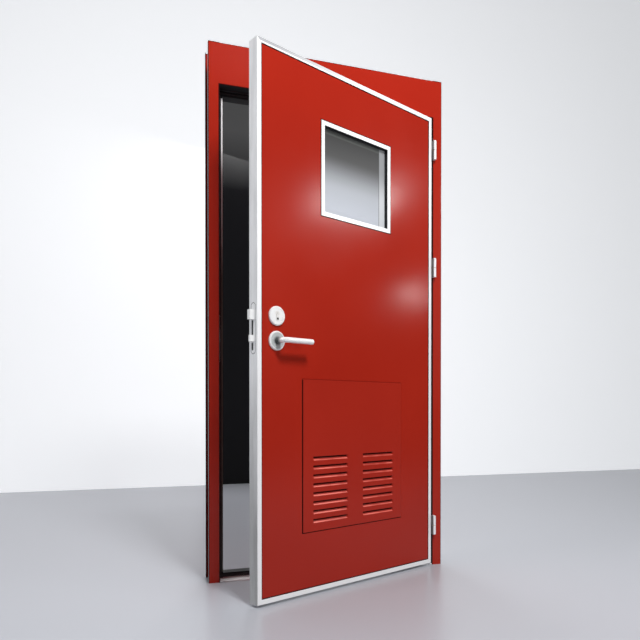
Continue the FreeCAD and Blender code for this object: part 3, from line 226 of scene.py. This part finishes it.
carrier_aluminium, tree, shader, place = stainless("carrier_aluminium", place_on_frame, (500, 500, 6))
height = parted(tree, place)[2]
# Painted shade: the carrier is blackened at the head and the sill and darkened low on the jambs.
bare = inside(tree, height, BARE_HALF, BARE_MIDDLE)
above_shade = between(tree, height, 0, 1, *SHADED_UP_TO)
carrier_shaded = mixed(tree, above_shade, CARRIER_SHADE, given(shader, "Base Color"))
rough = node(tree, "Mix", {0: bare, 2: SHADE_ROUGHNESS, 3: given(shader, "Roughness")}).outputs[0]
join(tree, shader, Base_Color=mixed(tree, bare, REBATE_SHADE, carrier_shaded), Roughness=rough,
     Metallic=between(tree, bare, 0.0, STEEL_METALLIC))
dress(carrier_aluminium, "seal_carrier")


def skinned(name, points, finish, body, rows_closed=True):
    """A piece whose surface passes through a grid of points: rows by columns by (x, y, z).

    Its columns run round and close. Its rows close too, or else run from pole to pole. Points that lie
    together are made one, and a shell whose faces look inwards, so that its volume comes out below
    nought, is turned round.
    """
    rows, columns = points.shape[:2]
    row = np.arange(rows if rows_closed else rows - 1)[:, None]
    column = np.arange(columns)[None, :]
    ahead, beside = (row + 1) % rows, (column + 1) % columns
    faces = np.stack([
        row * columns + column, row * columns + beside, ahead * columns + beside, ahead * columns + column,
    ], axis=-1).reshape(-1, 4)
    spots = points.reshape(-1, 3)
    first, second, third, fourth = (spots[faces[:, corner]] for corner in range(4))
    volume = (first * np.cross(second, third)).sum() + (first * np.cross(third, fourth)).sum()
    if volume < 0:
        faces = faces[:, ::-1]
    mesh = bpy.data.meshes.new(name)
    mesh.from_pydata(spots.tolist(), [], faces.tolist())
    mesh.materials.append(finish)
    shell = bmesh.new()
    shell.from_mesh(mesh)
    bmesh.ops.remove_doubles(shell, verts=shell.verts, dist=1e-7)
    shell.to_mesh(mesh)
    shell.free()
    made = bpy.data.objects.new(name, mesh)
    bpy.context.scene.collection.objects.link(made)
    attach(made, body)
    return made


def framing(centre, size, profile):
    """A profile carried round a rectangle that stands across Y, with mitred corners.

    The profile's points are (how far in from the rectangle's sides, place on Y), so each corner of the
    ring is the rectangle's corner brought in by the same amount on both sides.
    """
    inset, depth = np.array(profile, dtype=float).T
    sides = np.array([(-1, -1), (1, -1), (1, 1), (-1, 1)], dtype=float)
    across = centre[0] + sides[:, :1] * (size[0] / 2 - inset)
    up = centre[1] + sides[:, 1:] * (size[1] / 2 - inset)
    return np.stack([across, np.broadcast_to(depth, across.shape), up], axis=-1)


rubber, tree, shader = finish_named("rubber", Roughness=0.55, Specular_IOR_Level=0.35)
place = place_on_frame(tree)
bloom = between(tree, noise(tree, place, 60, detail=3), 0, 1, 0.35, 0.75)
join(tree, shader, Base_Color=mixed(tree, bloom, (0.010, 0.010, 0.011, 1), (0.024, 0.024, 0.026, 1)),
     Normal=bumped(tree, noise(tree, place, 900), 0.00008, 0.5))

SEAL_CENTRE, SEAL_SIZE = (0, 1.0095), (0.953, 2.005)
BULB_CENTRE, BULB_HALF_WIDTH, BULB_RISE = (0.006, 0.0026), 0.0042, 0.0022
FOOT_WIDTH, FOOT_FACE, FOOT_BACK = 0.012, 0.0024, 0.003
bulb = [
    (BULB_CENTRE[0] - BULB_HALF_WIDTH * math.cos(step), BULB_CENTRE[1] - BULB_RISE * math.sin(step))
    for step in np.linspace(0, math.pi, 13)
]
foot = [(FOOT_WIDTH, FOOT_FACE), (FOOT_WIDTH, FOOT_BACK), (0.0, FOOT_BACK), (0.0, FOOT_FACE)]
bulb_seal = skinned("bulb_seal", framing(SEAL_CENTRE, SEAL_SIZE, bulb + foot), rubber, "frame")
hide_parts("frame_seal")

swell_strip, tree, shader = finish_named("swell_strip", Roughness=0.6)
place = place_on_frame(tree)
flecks = noise(tree, place, 700)
join(tree, shader, Base_Color=mixed(tree, flecks, (0.02, 0.02, 0.022, 1), (0.05, 0.05, 0.053, 1)),
     Normal=bumped(tree, noise(tree, place, 1200), 0.0001, 0.6))
dress(swell_strip, "intumescent_strips")


# The strike: a stainless plate on the latch jamb with windows for the latch and the dead bolt, its two
# countersunk screws, and a zinc-plated box behind the jamb that keeps the wool out of the bolts' way.

strike_steel = stainless("strike_steel", place_on_frame, (600, 600, 5))[0]
dress(strike_steel, "strike_plate")


def screws(heads, facing, radius, length):
    """Countersunk screws with a cross recess, as one grid of points for each head.

    A ring of the head stands at every step from the recess's bottom to the shank's end. Inside the
    recess a ring's radius is that of the cross, 0.35 plus 0.65 times the fourth power of cos 2t of the
    recess's reach. Outside it, rings are round. facing is 1 where the head looks along +X, else -1.
    """
    turn = np.linspace(0, 2 * math.pi, 48, endpoint=False)
    cross = radius * 0.66 * (0.35 + 0.65 * np.cos(2 * turn) ** 4)
    whole = np.full_like(turn, radius)
    rings = [
        (cross * 0.0, -0.40), (cross * 0.6, -0.34), (cross * 0.93, -0.12), (cross, -0.02),
        (cross * 1.04, 0.0), (whole * 0.8, 0.0), (whole * 0.93, -0.02), (whole * 0.985, -0.05),
        (whole, -0.11), (whole, -length / radius), (whole * 0.0, -length / radius),
    ]
    reach = np.stack([ring for ring, _ in rings])
    rise = np.array([height for _, height in rings])[:, None] * radius
    made = []
    for across, through, up in heads:
        made.append(np.stack([
            np.broadcast_to(across + facing * rise, reach.shape),
            through + reach * np.cos(turn + 0.4), up + reach * np.sin(turn + 0.4),
        ], axis=-1))
    return made


def joined(name, pieces):
    """Several meshes made one, in the first one's finish and on its body."""
    bpy.ops.object.select_all(action="DESELECT")
    for piece in pieces:
        piece.select_set(True)
    bpy.context.view_layer.objects.active = pieces[0]
    bpy.ops.object.join()
    pieces[0].name = name
    return pieces[0]


def screw_set(name, grids, finish, body, node_name):
    """A set of like stainless screws as one piece, standing for the CAD's node."""
    made = joined(name, [
        skinned(f"{name}_{count}", grid, finish, body, rows_closed=False)
        for count, grid in enumerate(grids)
    ])
    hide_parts(node_name)


STRIKE_FACE, STRIKE_MIDDLE, STRIKE_SCREW_HEIGHTS = -0.4766, -0.025, (0.9065, 1.0735)
LOCK_SCREW_RADIUS, STRIKE_SCREW_LENGTH = 0.0035, 0.0018
spots = [(STRIKE_FACE, STRIKE_MIDDLE, height) for height in STRIKE_SCREW_HEIGHTS]
heads = screws(spots, 1, LOCK_SCREW_RADIUS, STRIKE_SCREW_LENGTH)
screw_set("strike_heads", heads, strike_steel, "frame", "strike_screws")

zinc, tree, shader = finish_named("zinc", Metallic=1.0)
flakes = node(tree, "TexVoronoi", {"Vector": place_on_frame(tree), "Scale": 130, "Randomness": 1.0})
shade = node(tree, "SeparateColor", {"Color": flakes.outputs["Color"]}).outputs[0]
join(tree, shader, Base_Color=mixed(tree, shade, (0.45, 0.46, 0.48, 1), (0.62, 0.63, 0.65, 1)),
     Roughness=between(tree, shade, 0.34, 0.5))
dress(zinc, "strike_dust_box", "hinge_backings", "hinge_stiffeners", "panel_surround", "panel_clips",
      "panel_core", "window_liner", "lock_case", "lock_cover")


# The hinges: three lift-off butts. Each has a plate on the jamb with the lower half of the knuckle, a
# plate on the leaf with the upper half, a pin pressed into the lower half and a bearing washer. The side of
# the knuckles towards the leaf is toned dark, for the dark room that bare steel mirrors there.

OPEN_ANGLE = math.radians(22.9)
HINGE_LINE = (0.483, -0.0594)
DARK_SIDE = (0.4765, 0.479)
KNUCKLE_DARK = (0.14, 0.13, 0.13, 1)

hinge_steel, tree, shader, place = stainless("hinge_steel", place_on_frame, (420, 420, 8), 0.3, 0.42)
on_side = between(tree, parted(tree, place)[0], 1, 0, *DARK_SIDE)
join(tree, shader, Base_Color=mixed(tree, on_side, given(shader, "Base Color"), KNUCKLE_DARK))
dress(hinge_steel, "hinge_pins", *(
    f"hinge_{side}_half_{name}" for side in ("frame", "leaf") for name in ("lower", "middle", "upper")
))


def swung(points):
    """Points of the leaf as if the door were shut, turned about the hinge pins to where it stands open."""
    across, through = points[..., 0] - HINGE_LINE[0], points[..., 1] - HINGE_LINE[1]
    made = points.copy()
    made[..., 0] = HINGE_LINE[0] + across * math.cos(OPEN_ANGLE) - through * math.sin(OPEN_ANGLE)
    made[..., 1] = HINGE_LINE[1] + across * math.sin(OPEN_ANGLE) + through * math.cos(OPEN_ANGLE)
    return made


HINGE_HEIGHTS = (0.1805, 1.3385, 1.8655)
JAMB_PLATE, LEAF_PLATE = 0.4769, 0.4766
HINGE_SCREW_THROUGH, HINGE_SCREW_PITCH = -0.031, 0.026
HINGE_SCREW_RADIUS, HINGE_SCREW_LENGTH = 0.0025, 0.007
spots = [
    (HINGE_SCREW_THROUGH, height + step)
    for height in HINGE_HEIGHTS for step in (-HINGE_SCREW_PITCH, 0, HINGE_SCREW_PITCH)
]
heads = screws([(JAMB_PLATE, *spot) for spot in spots], -1, HINGE_SCREW_RADIUS, HINGE_SCREW_LENGTH)
screw_set("hinge_screws_jamb", heads, hinge_steel, "frame", "hinge_frame_screws")
heads = screws([(LEAF_PLATE, *spot) for spot in spots], 1, HINGE_SCREW_RADIUS, HINGE_SCREW_LENGTH)
heads = [swung(head) for head in heads]
screw_set("hinge_screws_leaf", heads, hinge_steel, "leaf", "hinge_leaf_screws")

washer_brass, tree, shader = finish_named("washer_brass", Metallic=1.0, Roughness=0.35)
tarnish = noise(tree, place_on_frame(tree), 300)
join(tree, shader, Base_Color=mixed(tree, tarnish, (0.42, 0.27, 0.1, 1), (0.6, 0.42, 0.18, 1)))
dress(washer_brass, "hinge_washers")


# The leaf: two 1.2 mm steel skins glued to slabs of mineral wool, enamelled red on both sides and closed
# round the edge by four stainless channels mitred at the corners. The steel is toned darker on the long
# edge towards its foot and on the top channel towards the latch. A near-black bead where the trims meet
# the skins is painted shade, for the shadow line along their edges.

def place_on_leaf(tree):
    """Where a point of the leaf would be if the door were shut.

    The stored place turned back by the opening angle about the line of the hinge pins.
    """
    turn = -OPEN_ANGLE
    across, through = HINGE_LINE
    back = (
        across - (across * math.cos(turn) - through * math.sin(turn)),
        through - (across * math.sin(turn) + through * math.cos(turn)),
        0,
    )
    made = node(tree, "Mapping", {
        "Vector": place_on_frame(tree), "Location": back, "Rotation": (0, 0, turn),
    })
    return made.outputs["Vector"]


EDGE_CORNER, TOP_CORNER = (-0.4748, -0.4742), (1.9975, 2.0005)
DARK_UP_TO, DARK_ACROSS = (0.25, 0.85), (-0.4, 0.1)
EDGE_DARK = (0.40, 0.40, 0.39, 1)
TOP_DARK = (0.32, 0.33, 0.35, 1)

leaf_paint = enamel("leaf_paint", place_on_leaf)[0]
dress(leaf_paint, "leaf_skin_front", "leaf_skin_back")

upright_trim, tree, shader, place = stainless("upright_trim", place_on_leaf, (700, 700, 3))
across, _, height = parted(tree, place)
on_edge = between(tree, across, 1, 0, *EDGE_CORNER)
low = between(tree, height, 0.85, 0, *DARK_UP_TO)
patches = between(tree, noise(tree, stretched(tree, place, (30, 30, 4)), 1, detail=5), 0.0, 0.3, 0.45, 0.7)
dark = worked(tree, "MULTIPLY", worked(tree, "ADD", low, patches), on_edge)
join(tree, shader, Base_Color=mixed(tree, dark, given(shader, "Base Color"), EDGE_DARK))
dress(upright_trim, "edge_trim_latch", "edge_trim_hinge")

level_trim, tree, shader, place = stainless("level_trim", place_on_leaf, GRAIN_LEVEL)
across, _, height = parted(tree, place)
on_top = between(tree, height, 0, 1, *TOP_CORNER)
dark = worked(tree, "MULTIPLY", on_top, between(tree, across, 0.8, 0, *DARK_ACROSS))
join(tree, shader, Base_Color=mixed(tree, dark, given(shader, "Base Color"), TOP_DARK))
dress(level_trim, "edge_trim_top", "edge_trim_bottom")

PANEL_TOP, UNSHADED_HALF = 0.817, 0.0035
BEAD_UNSHADED_RED = (0.2, 0.009, 0.004, 1)

# Near black as painted shade along the trims' edges; enamel red along the panel's top, where none falls.
shadow_bead, tree, shader = finish_named("shadow_bead", Roughness=0.8, Specular_IOR_Level=0.1)
place = place_on_leaf(tree)
lumps = noise(tree, place, 120)
bare = mixed(tree, lumps, (0.018, 0.003, 0.003, 1), (0.04, 0.005, 0.004, 1))
unshaded_top = inside(tree, parted(tree, place)[2], UNSHADED_HALF, PANEL_TOP)
join(tree, shader, Base_Color=mixed(tree, unshaded_top, bare, BEAD_UNSHADED_RED),
     Normal=bumped(tree, lumps, 0.0004, 0.5))

BEAD_WIDTH, BEAD_RISE, BEAD_ROOT = 0.004, 0.0011, 0.0003


def bead(name, centre, size, skin, outwards, around=False):
    """A low quarter round, near black for painted shade, where a trim ends on a skin, all round a
    rectangle.

    skin is the skin's place on Y and outwards the side that it faces, -1 or 1. The bead lies just
    inside the rectangle, or around it where the trim fills the rectangle. Step by step of a quarter
    turn its width goes as 1 less the sine and its rise as 1 less the cosine.
    """
    turn = np.linspace(0, math.pi / 2, 5)
    root = skin - outwards * BEAD_ROOT
    profile = [(0.0, root), (BEAD_WIDTH, root)] + [
        (BEAD_WIDTH * (1 - math.sin(step)), skin + outwards * BEAD_RISE * (1 - math.cos(step)))
        for step in turn
    ]
    if around:
        profile = [(BEAD_WIDTH - inset, depth) for inset, depth in profile]
        size = (size[0] + 2 * BEAD_WIDTH, size[1] + 2 * BEAD_WIDTH)
    made = skinned(name, swung(framing(centre, size, profile)), shadow_bead, "leaf")


SKIN_FRONT, SKIN_BACK = -0.0485, -0.0015
SKIN_CENTRE, SKIN_SEEN = (0, 1.0105), (0.914, 1.964)
# Painted shade: a near-black bead along the inside of the edge trims, front and back.
bead("edge_bead_front", SKIN_CENTRE, SKIN_SEEN, SKIN_FRONT, -1)
bead("edge_bead_back", SKIN_CENTRE, SKIN_SEEN, SKIN_BACK, 1)

wool, tree, shader = finish_named("wool", Roughness=1.0)
strands = noise(tree, stretched(tree, place_on_leaf(tree), (60, 900, 500)), 1, detail=6, roughness=0.7)
shade = between(tree, strands, 0, 1, 0.3, 0.7)
join(tree, shader, Base_Color=mixed(tree, shade, (0.19, 0.15, 0.08, 1), (0.42, 0.36, 0.22, 1)),
     Normal=bumped(tree, strands, 0.001))
dress(wool, "leaf_core")


# The window: fire glass between two rubber gaskets, held by a stainless trim in front and a bead with its
# own trim behind. What shows in the pane is painted into it: greys that darken upwards, a painted
# reflection, the steel reveal seen through on the hinge side with a line of painted shade along its corner,
# and the underside of the lintel in painted shade.

window_steel = stainless("window_steel", place_on_leaf, (300, 300, 300), 0.3, 0.36)[0]
dress(window_steel, "window_trim_front", "window_trim_back")

WINDOW, WINDOW_SIZE, GASKET_SIZE = (0.0138, 1.6255), (0.382, 0.363), (0.366, 0.347)
# Painted shade: a near-black bead round the window trims, front and back.
bead("window_bead_front_outside", WINDOW, WINDOW_SIZE, SKIN_FRONT, -1, around=True)
bead("window_bead_back_outside", WINDOW, WINDOW_SIZE, SKIN_BACK, 1, around=True)


def gasket(name, outer_face, glass_face):
    """A glazing gasket: a rubber strip from trim to glass, whose soft lip is pressed out over the glass.

    Each step is (how far in from the trim, what part of the way from the outer face to the glass).
    """
    way = glass_face - outer_face
    steps = [(0.0, 0.0), (0.0072, 0.0), (0.0078, 0.03), (0.0078, 0.55), (0.0084, 0.72), (0.0097, 0.86),
             (0.0108, 0.95), (0.0108, 1.0), (0.0, 1.0)]
    profile = [(inset, outer_face + way * part) for inset, part in steps]
    made = skinned(name, swung(framing(WINDOW, GASKET_SIZE, profile)), rubber, "leaf")
    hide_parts("window_gaskets")


GLASS_FRONT, GLASS_BACK, BEAD_FACE = -0.034, -0.022, -0.019
gasket("gasket_front", SKIN_FRONT, GLASS_FRONT)
gasket("gasket_back", BEAD_FACE, GLASS_BACK)

DARKENING_FROM, LINTEL, LINTEL_DARK = (1.565, 1.7), (1.768, 1.771), (0.075, 0.08, 0.075, 1)
REVEAL, REVEAL_CORNER, CORNER_HALF = (0.1535, 0.1545), 0.152, 0.0013
CORNER_DARK = (0.09, 0.09, 0.09, 1)

fire_glass, tree, shader = finish_named(
    "fire_glass", Transmission_Weight=0.2, IOR=1.45, Roughness=0.36, Specular_IOR_Level=0.22,
)
place = place_on_leaf(tree)
across, _, height = parted(tree, place)
# Painted reflection: the pane darkens upwards; painted shade at the reveal's corner and under the lintel.
darkening = between(tree, height, 0, 1, *DARKENING_FROM, interpolation_type="SMOOTHSTEP")
rise = between(tree, height, 0, 1, 1.45, 1.6)
pale = mixed(tree, rise, (0.57, 0.60, 0.66, 1), (0.41, 0.43, 0.46, 1))
rise = between(tree, height, 0, 1, 1.66, 1.8)
murk = mixed(tree, rise, (0.09, 0.09, 0.09, 1), (0.038, 0.038, 0.038, 1))
seen = mixed(tree, darkening, pale, murk)
seen = mixed(tree, between(tree, height, 0, 1, *LINTEL), seen, LINTEL_DARK)
steel = mixed(tree, darkening, (0.62, 0.64, 0.66, 1), (0.30, 0.31, 0.32, 1))
seen = mixed(tree, between(tree, across, 0, 1, *REVEAL), seen, steel)
seen = mixed(tree, inside(tree, across, CORNER_HALF, REVEAL_CORNER), seen, CORNER_DARK)
wave = noise(tree, place, 5, detail=1)
join(tree, shader, Base_Color=seen, Normal=bumped(tree, wave, 0.0006, 0.15))
dress(fire_glass, "window_glass")


# The escape panel: a louvred pan over the opening in front and a louvred plate behind, which a kick pushes
# out of its spring clips. Both are pressed from sheet and enamelled with the leaf. The lower bend of each
# louvre is toned paler, a painted highlight for the broken glint along it, and the depth of the slits is
# darkened as painted shade.

PANEL, PANEL_SIZE = (0.0013, 0.528), (0.54, 0.573)
LEAF_MIDDLE = -0.025
COLUMN_OFFSET, COLUMN_HALF = 0.131, 0.0862
ROWS_MIDDLE, ROWS_HALF = 0.3977, 0.1262
BEND_DEPTH, BEND_HALF = 0.0248, 0.0013
SLIT_DEPTH = (0.0228, 0.0195)
BEND_PALE = (0.80, 0.17, 0.13, 1)
SLIT_SHADE = (0.05, 0.0025, 0.002, 1)

panel_paint, tree, shader, place, red = enamel("panel_paint", place_on_leaf)
across, through, height = parted(tree, place)
# Painted shade deep in the slits and a painted highlight along each louvre's lower bend.
depth = apart(tree, through, LEAF_MIDDLE)
deep = between(tree, depth, 0, 1, *SLIT_DEPTH, interpolation_type="SMOOTHSTEP")
bend = inside(tree, depth, BEND_HALF, BEND_DEPTH)
column = inside(tree, apart(tree, across, PANEL[0]), COLUMN_HALF, COLUMN_OFFSET)
for limit in (column, inside(tree, height, ROWS_HALF, ROWS_MIDDLE)):
    bend = worked(tree, "MULTIPLY", bend, limit)
broken = between(tree, noise(tree, place, 9, detail=2), 0.2, 0.95, 0.38, 0.62)
red = mixed(tree, worked(tree, "MULTIPLY", bend, broken), red, BEND_PALE)
join(tree, shader, Base_Color=mixed(tree, deep, red, SLIT_SHADE),
     Roughness=between(tree, deep, 0.3, 0.6))
dress(panel_paint, "panel_front_plate", "panel_back_plate")
# Painted shade: a near-black bead round the panel, red along its top.
bead("panel_bead_outside", PANEL, PANEL_SIZE, SKIN_FRONT, -1, around=True)


# The mortise lock: a zinc-plated case with its cover, behind a round-ended stainless faceplate, and the
# latch and dead bolt that slide through it. A dark joint and a fine lip run round the faceplate, and two
# black rubber pads are let into it, above and below the latch.

plate_steel = stainless("plate_steel", place_on_leaf, (600, 600, 6))[0]
dress(plate_steel, "lock_faceplate")

LEAF_EDGE, PLATE_SCREW_HEIGHTS, PLATE_SCREW_LENGTH = -0.475, (0.9095, 1.0705), 0.003
spots = [(LEAF_EDGE, LEAF_MIDDLE, height) for height in PLATE_SCREW_HEIGHTS]
heads = [swung(head) for head in screws(spots, -1, LOCK_SCREW_RADIUS, PLATE_SCREW_LENGTH)]
screw_set("plate_screws", heads, plate_steel, "leaf", "faceplate_screws")


def long_round(name, centre, half_height, radius, rings, finish, rows_closed=True):
    """A long piece with half-round ends standing on the leaf's latch edge, turned with the leaf.

    Each ring is (how far outside the radius, how far out of the edge). Its points go round the upper
    half circle and then the lower one, whose centres are half_height above and below the middle.
    """
    turn = np.linspace(0, math.pi, 13)
    side = np.concatenate([np.cos(turn), -np.cos(turn)])
    rise = np.concatenate([np.sin(turn), -np.sin(turn)])
    step = np.concatenate([np.full(13, half_height), np.full(13, -half_height)])
    outside, proud = np.array(rings, dtype=float).T[..., None]
    points = np.stack([
        np.broadcast_to(LEAF_EDGE - proud, (len(rings), 26)),
        centre[0] + side * (radius + outside), centre[1] + step + rise * (radius + outside),
    ], axis=-1)
    made = skinned(name, swung(points), finish, "leaf", rows_closed)


PLATE, PLATE_HALF, PLATE_RADIUS = (LEAF_MIDDLE, 0.99), 0.0775, 0.012
joint = [(0.0, -0.001), (0.0021, -0.001), (0.0019, 0.0002), (0.0003, 0.0002)]
long_round("plate_joint", PLATE, PLATE_HALF, PLATE_RADIUS, joint, rubber)
lip = [(-0.0022, -0.001), (-0.0001, -0.001), (-0.0004, 0.0004), (-0.0018, 0.0004)]
long_round("plate_lip", PLATE, PLATE_HALF, PLATE_RADIUS, lip, plate_steel)

PAD_THROUGH, PAD_RADIUS = -0.0205, 0.0046
PADS = {"black_pad_upper": (0.9925, 0.0225), "black_pad_lower": (0.926, 0.0095)}
pad = [(-1, 0.0003), (-0.25, 0.0003), (0, 0.0), (0, -0.001), (-1, -0.001)]
pad = [(reach * PAD_RADIUS, proud) for reach, proud in pad]
for name, (height, half_height) in PADS.items():
    long_round(name, (PAD_THROUGH, height), half_height, PAD_RADIUS, pad, rubber,
               rows_closed=False)

bolt_steel, tree, shader = finish_named("bolt_steel", Metallic=0.25)
rubbed = noise(tree, stretched(tree, place_on_leaf(tree), (20, 600, 600)), 1, detail=4)
join(tree, shader, Base_Color=mixed(tree, rubbed, (0.84, 0.84, 0.84, 1), (0.96, 0.96, 0.95, 1)),
     Roughness=between(tree, rubbed, 0.22, 0.42))
dress(bolt_steel, "latch_bolt", "dead_bolt", "lock_follower", "lever_spindle")


# The handles: satin stainless levers on round roses, with the profile cylinder in its own roses above. The
# levers' necks and the middle of their roses are toned dark, for the dark room that they mirror. A rubber
# plug below the key closes the cylinder's drilled hole.

LOCK_X, LEVER_HEIGHT = -0.391, 0.95
NECK_DEPTH, NECK_DARK = (0.046, 0.062), (0.09, 0.10, 0.10, 1)
ROSE_MIDDLE, ROSE_RIM = (0.010, 0.019), (0.0275, 0.0315)
ROSE_DARK, ROSE_GREY = (0.10, 0.11, 0.11, 1), (0.50, 0.53, 0.53, 1)


def satin_steel(name):
    """Satin stainless, finely blasted, with faint smudges from hands."""
    made, tree, shader = finish_named(name, Metallic=STEEL_METALLIC)
    place = place_on_leaf(tree)
    grain = noise(tree, place, 1500, detail=3)
    smudge = noise(tree, place, 30, detail=3)
    colour = mixed(tree, smudge, (0.84, 0.84, 0.835, 1), (0.92, 0.92, 0.915, 1))
    join(tree, shader, Base_Color=colour, Roughness=between(tree, smudge, 0.24, 0.36, 0.3, 0.7),
         Normal=bumped(tree, grain, 0.00003, 0.4))
    return made, tree, shader, place


satin = satin_steel("satin")[0]
dress(satin, "cylinder_rose_outside", "cylinder_rose_inside", "thumb_turn")

lever_steel, tree, shader, place = satin_steel("lever_steel")
neck = between(tree, apart(tree, parted(tree, place)[1], LEAF_MIDDLE), 1, 0, *NECK_DEPTH)
join(tree, shader, Base_Color=mixed(tree, neck, given(shader, "Base Color"), NECK_DARK))
dress(lever_steel, "lever_outside", "lever_inside")

rose_steel, tree, shader, place = satin_steel("rose_steel")
from_axis = node(tree, "Mapping", {
    "Vector": place, "Location": (-LOCK_X, 0, -LEVER_HEIGHT), "Scale": (1, 0, 1),
})
reach = node(tree, "VectorMath", {0: from_axis.outputs["Vector"]}, operation="LENGTH").outputs["Value"]
# Painted reflection: the rose darkens from its rim inwards.
reflected_dark = between(tree, reach, 1, 0, *ROSE_RIM)
dark = mixed(tree, between(tree, reach, 0, 1, *ROSE_MIDDLE), ROSE_DARK, ROSE_GREY)
join(tree, shader, Base_Color=mixed(tree, reflected_dark, given(shader, "Base Color"), dark))
dress(rose_steel, "lever_rose_outside", "lever_rose_inside")

nickel, tree, shader = finish_named("nickel", Metallic=0.25)
wear = noise(tree, place_on_leaf(tree), 160, detail=4)
bare = between(tree, wear, 0, 1, 0.4, 0.75)
join(tree, shader, Base_Color=mixed(tree, bare, (0.88, 0.87, 0.85, 1), (0.72, 0.68, 0.6, 1)),
     Roughness=between(tree, wear, 0.22, 0.38))
dress(nickel, "cylinder_body", "cylinder_cam", "key_plug")

PLUG_HEIGHT, PLUG_RADIUS, CYLINDER_FACE = 1.0285, 0.0040, -0.0581
turn = np.linspace(0, 2 * math.pi, 32, endpoint=False)[None, :]
rings = np.array([(0.0, -0.05), (0.85, -0.05), (1.0, 0.0), (1.0, 0.4), (0.0, 0.4)])[..., None]
reach, depth = rings[:, 0] * PLUG_RADIUS, CYLINDER_FACE + rings[:, 1] * 0.001
drill_plug = skinned("drill_plug", swung(np.stack([
    LOCK_X + reach * np.cos(turn), np.broadcast_to(depth, (5, 32)), PLUG_HEIGHT + reach * np.sin(turn),
], axis=-1)), rubber, "leaf", rows_closed=False)


# The floor and the wall behind, plain and pale. A dark board on the wall stands for the unlit room that is
# seen through the open gap, and pales towards the ceiling.

def flat_sheet(name, corners, finish):
    """One four-cornered sheet."""
    mesh = bpy.data.meshes.new(name)
    mesh.from_pydata(corners, [], [(0, 1, 2, 3)])
    mesh.materials.append(finish)
    made = bpy.data.objects.new(name, mesh)
    bpy.context.scene.collection.objects.link(made)
    return made


def upright(left, right, through, low, high):
    """The corners of a sheet that stands across Y."""
    return [(left, through, low), (right, through, low), (right, through, high), (left, through, high)]


ROOM, WALL, CEILING = 8, 3.2, 6
BOARD_LEFT, BOARD_RIGHT, BOARD_TOP = -0.1, 0.42, 3.7
BOARD_DARK, BOARD_PALE = (0.004, 0.004, 0.005, 1), (0.1, 0.1, 0.1, 1)

floor_finish = finish_named("floor_finish", Base_Color=(0.44, 0.45, 0.49, 1), Roughness=0.3)[0]
wall_finish = finish_named(
    "wall_finish", Base_Color=(0.86, 0.87, 0.88, 1), Roughness=0.8,
    Emission_Color=(0.95, 0.97, 1.0, 1), Emission_Strength=0.45,
)[0]
board_finish, tree, shader = finish_named("board_finish", Roughness=1.0)
high_up = between(tree, parted(tree, place_on_frame(tree))[2], 0, 1, 2.75, 3.3)
join(tree, shader, Base_Color=mixed(tree, high_up, BOARD_DARK, BOARD_PALE))

floor = flat_sheet("floor", [
    (-ROOM, -ROOM, 0), (ROOM, -ROOM, 0), (ROOM, WALL, 0), (-ROOM, WALL, 0),
], floor_finish)
backdrop = flat_sheet("backdrop", upright(-ROOM, ROOM, WALL, 0, CEILING), wall_finish)
board_corners = upright(BOARD_LEFT, BOARD_RIGHT, WALL - 0.01, 0.001, BOARD_TOP)
board = flat_sheet("gap_board", board_corners, board_finish)


# Soft studio light in a pale room. Three lamps light the door without showing in its gloss: one above, one
# on the right and one behind. One on the left lights the long edge. Three small ones show in the gloss
# alone: a glint from above, a band beside the window and a spot over the middle hinge.

room = bpy.data.worlds.new("room")
room.use_nodes = True
tree = room.node_tree
across = parted(tree, tree.nodes.new("ShaderNodeTexCoord").outputs["Generated"])[0]
right = between(tree, across, 0, 1, -0.8, 0.6)
glow = mixed(tree, right, (0.30, 0.31, 0.33, 1), (0.08, 0.075, 0.07, 1))
tree.links.new(glow, tree.nodes["Background"].inputs["Color"])
tree.nodes["Background"].inputs["Strength"].default_value = 0.8
bpy.context.scene.world = room
bpy.context.scene.view_settings.view_transform = "Standard"


def soft_lamp(name, spot, target, size, power, sheen_only=None):
    """A lamp of the size (across, up) at the spot, facing the target.

    sheen_only True gives a glow in the gloss alone, False light alone without a glow, and None both.
    """
    light = bpy.data.lights.new(name, "AREA")
    light.shape = "RECTANGLE"
    light.energy = power
    light.size, light.size_y = size
    made = bpy.data.objects.new(name, light)
    made.location = spot
    aim = np.array(target, dtype=float) - np.array(spot, dtype=float)
    flat = math.hypot(aim[0], aim[1])
    made.rotation_euler = (math.atan2(flat, -aim[2]), 0, math.atan2(-aim[0], aim[1]))
    made.visible_diffuse = sheen_only is not True
    made.visible_glossy = sheen_only is not False
    bpy.context.scene.collection.objects.link(made)


soft_lamp("lamp_above", (0.25, -2.8, 3.95), (0, -0.2, 1.0), (0.8, 0.8), 150, sheen_only=False)
soft_lamp("lamp_glint", (1.5, -1.2, 4.5), (0, -0.2, 1.0), (0.4, 0.4), 18, sheen_only=True)
soft_lamp("lamp_fill", (2.2, -3.2, 1.9), (0, -0.2, 1.1), (2.0, 2.0), 45, sheen_only=False)
soft_lamp("lamp_band", (2.64, -1.36, 2.5), (0.05, -0.25, 1.55), (0.6, 0.1), 9, sheen_only=True)
soft_lamp("lamp_spot", (3.16, -1.0, 1.74), (0.37, -0.1, 1.18), (0.12, 0.12), 1.5, sheen_only=True)
soft_lamp("lamp_left", (-2.8, -1.0, 2.7), (-0.5, -0.4, 1.4), (0.9, 0.9), 23)
soft_lamp("lamp_back", (0.4, 2.9, 3.4), (0, 0.05, 1.3), (1.2, 1.2), 45, sheen_only=False)


# The camera stands where the picture's did, to the left of the door, at hip height. It looks half a degree
# downward and 0.31 radians to the right.

DOWNWARD, RIGHTWARD = 0.51, 0.308754
lens = bpy.data.cameras.new("camera")
lens.lens = 34.71
lens.shift_y = 0.1476
camera = bpy.data.objects.new("camera", lens)
camera.location = (-0.851758, -2.553775, 0.704608)
camera.rotation_euler = (math.radians(90 - DOWNWARD), 0, -RIGHTWARD)
bpy.context.scene.collection.objects.link(camera)
bpy.context.scene.camera = camera
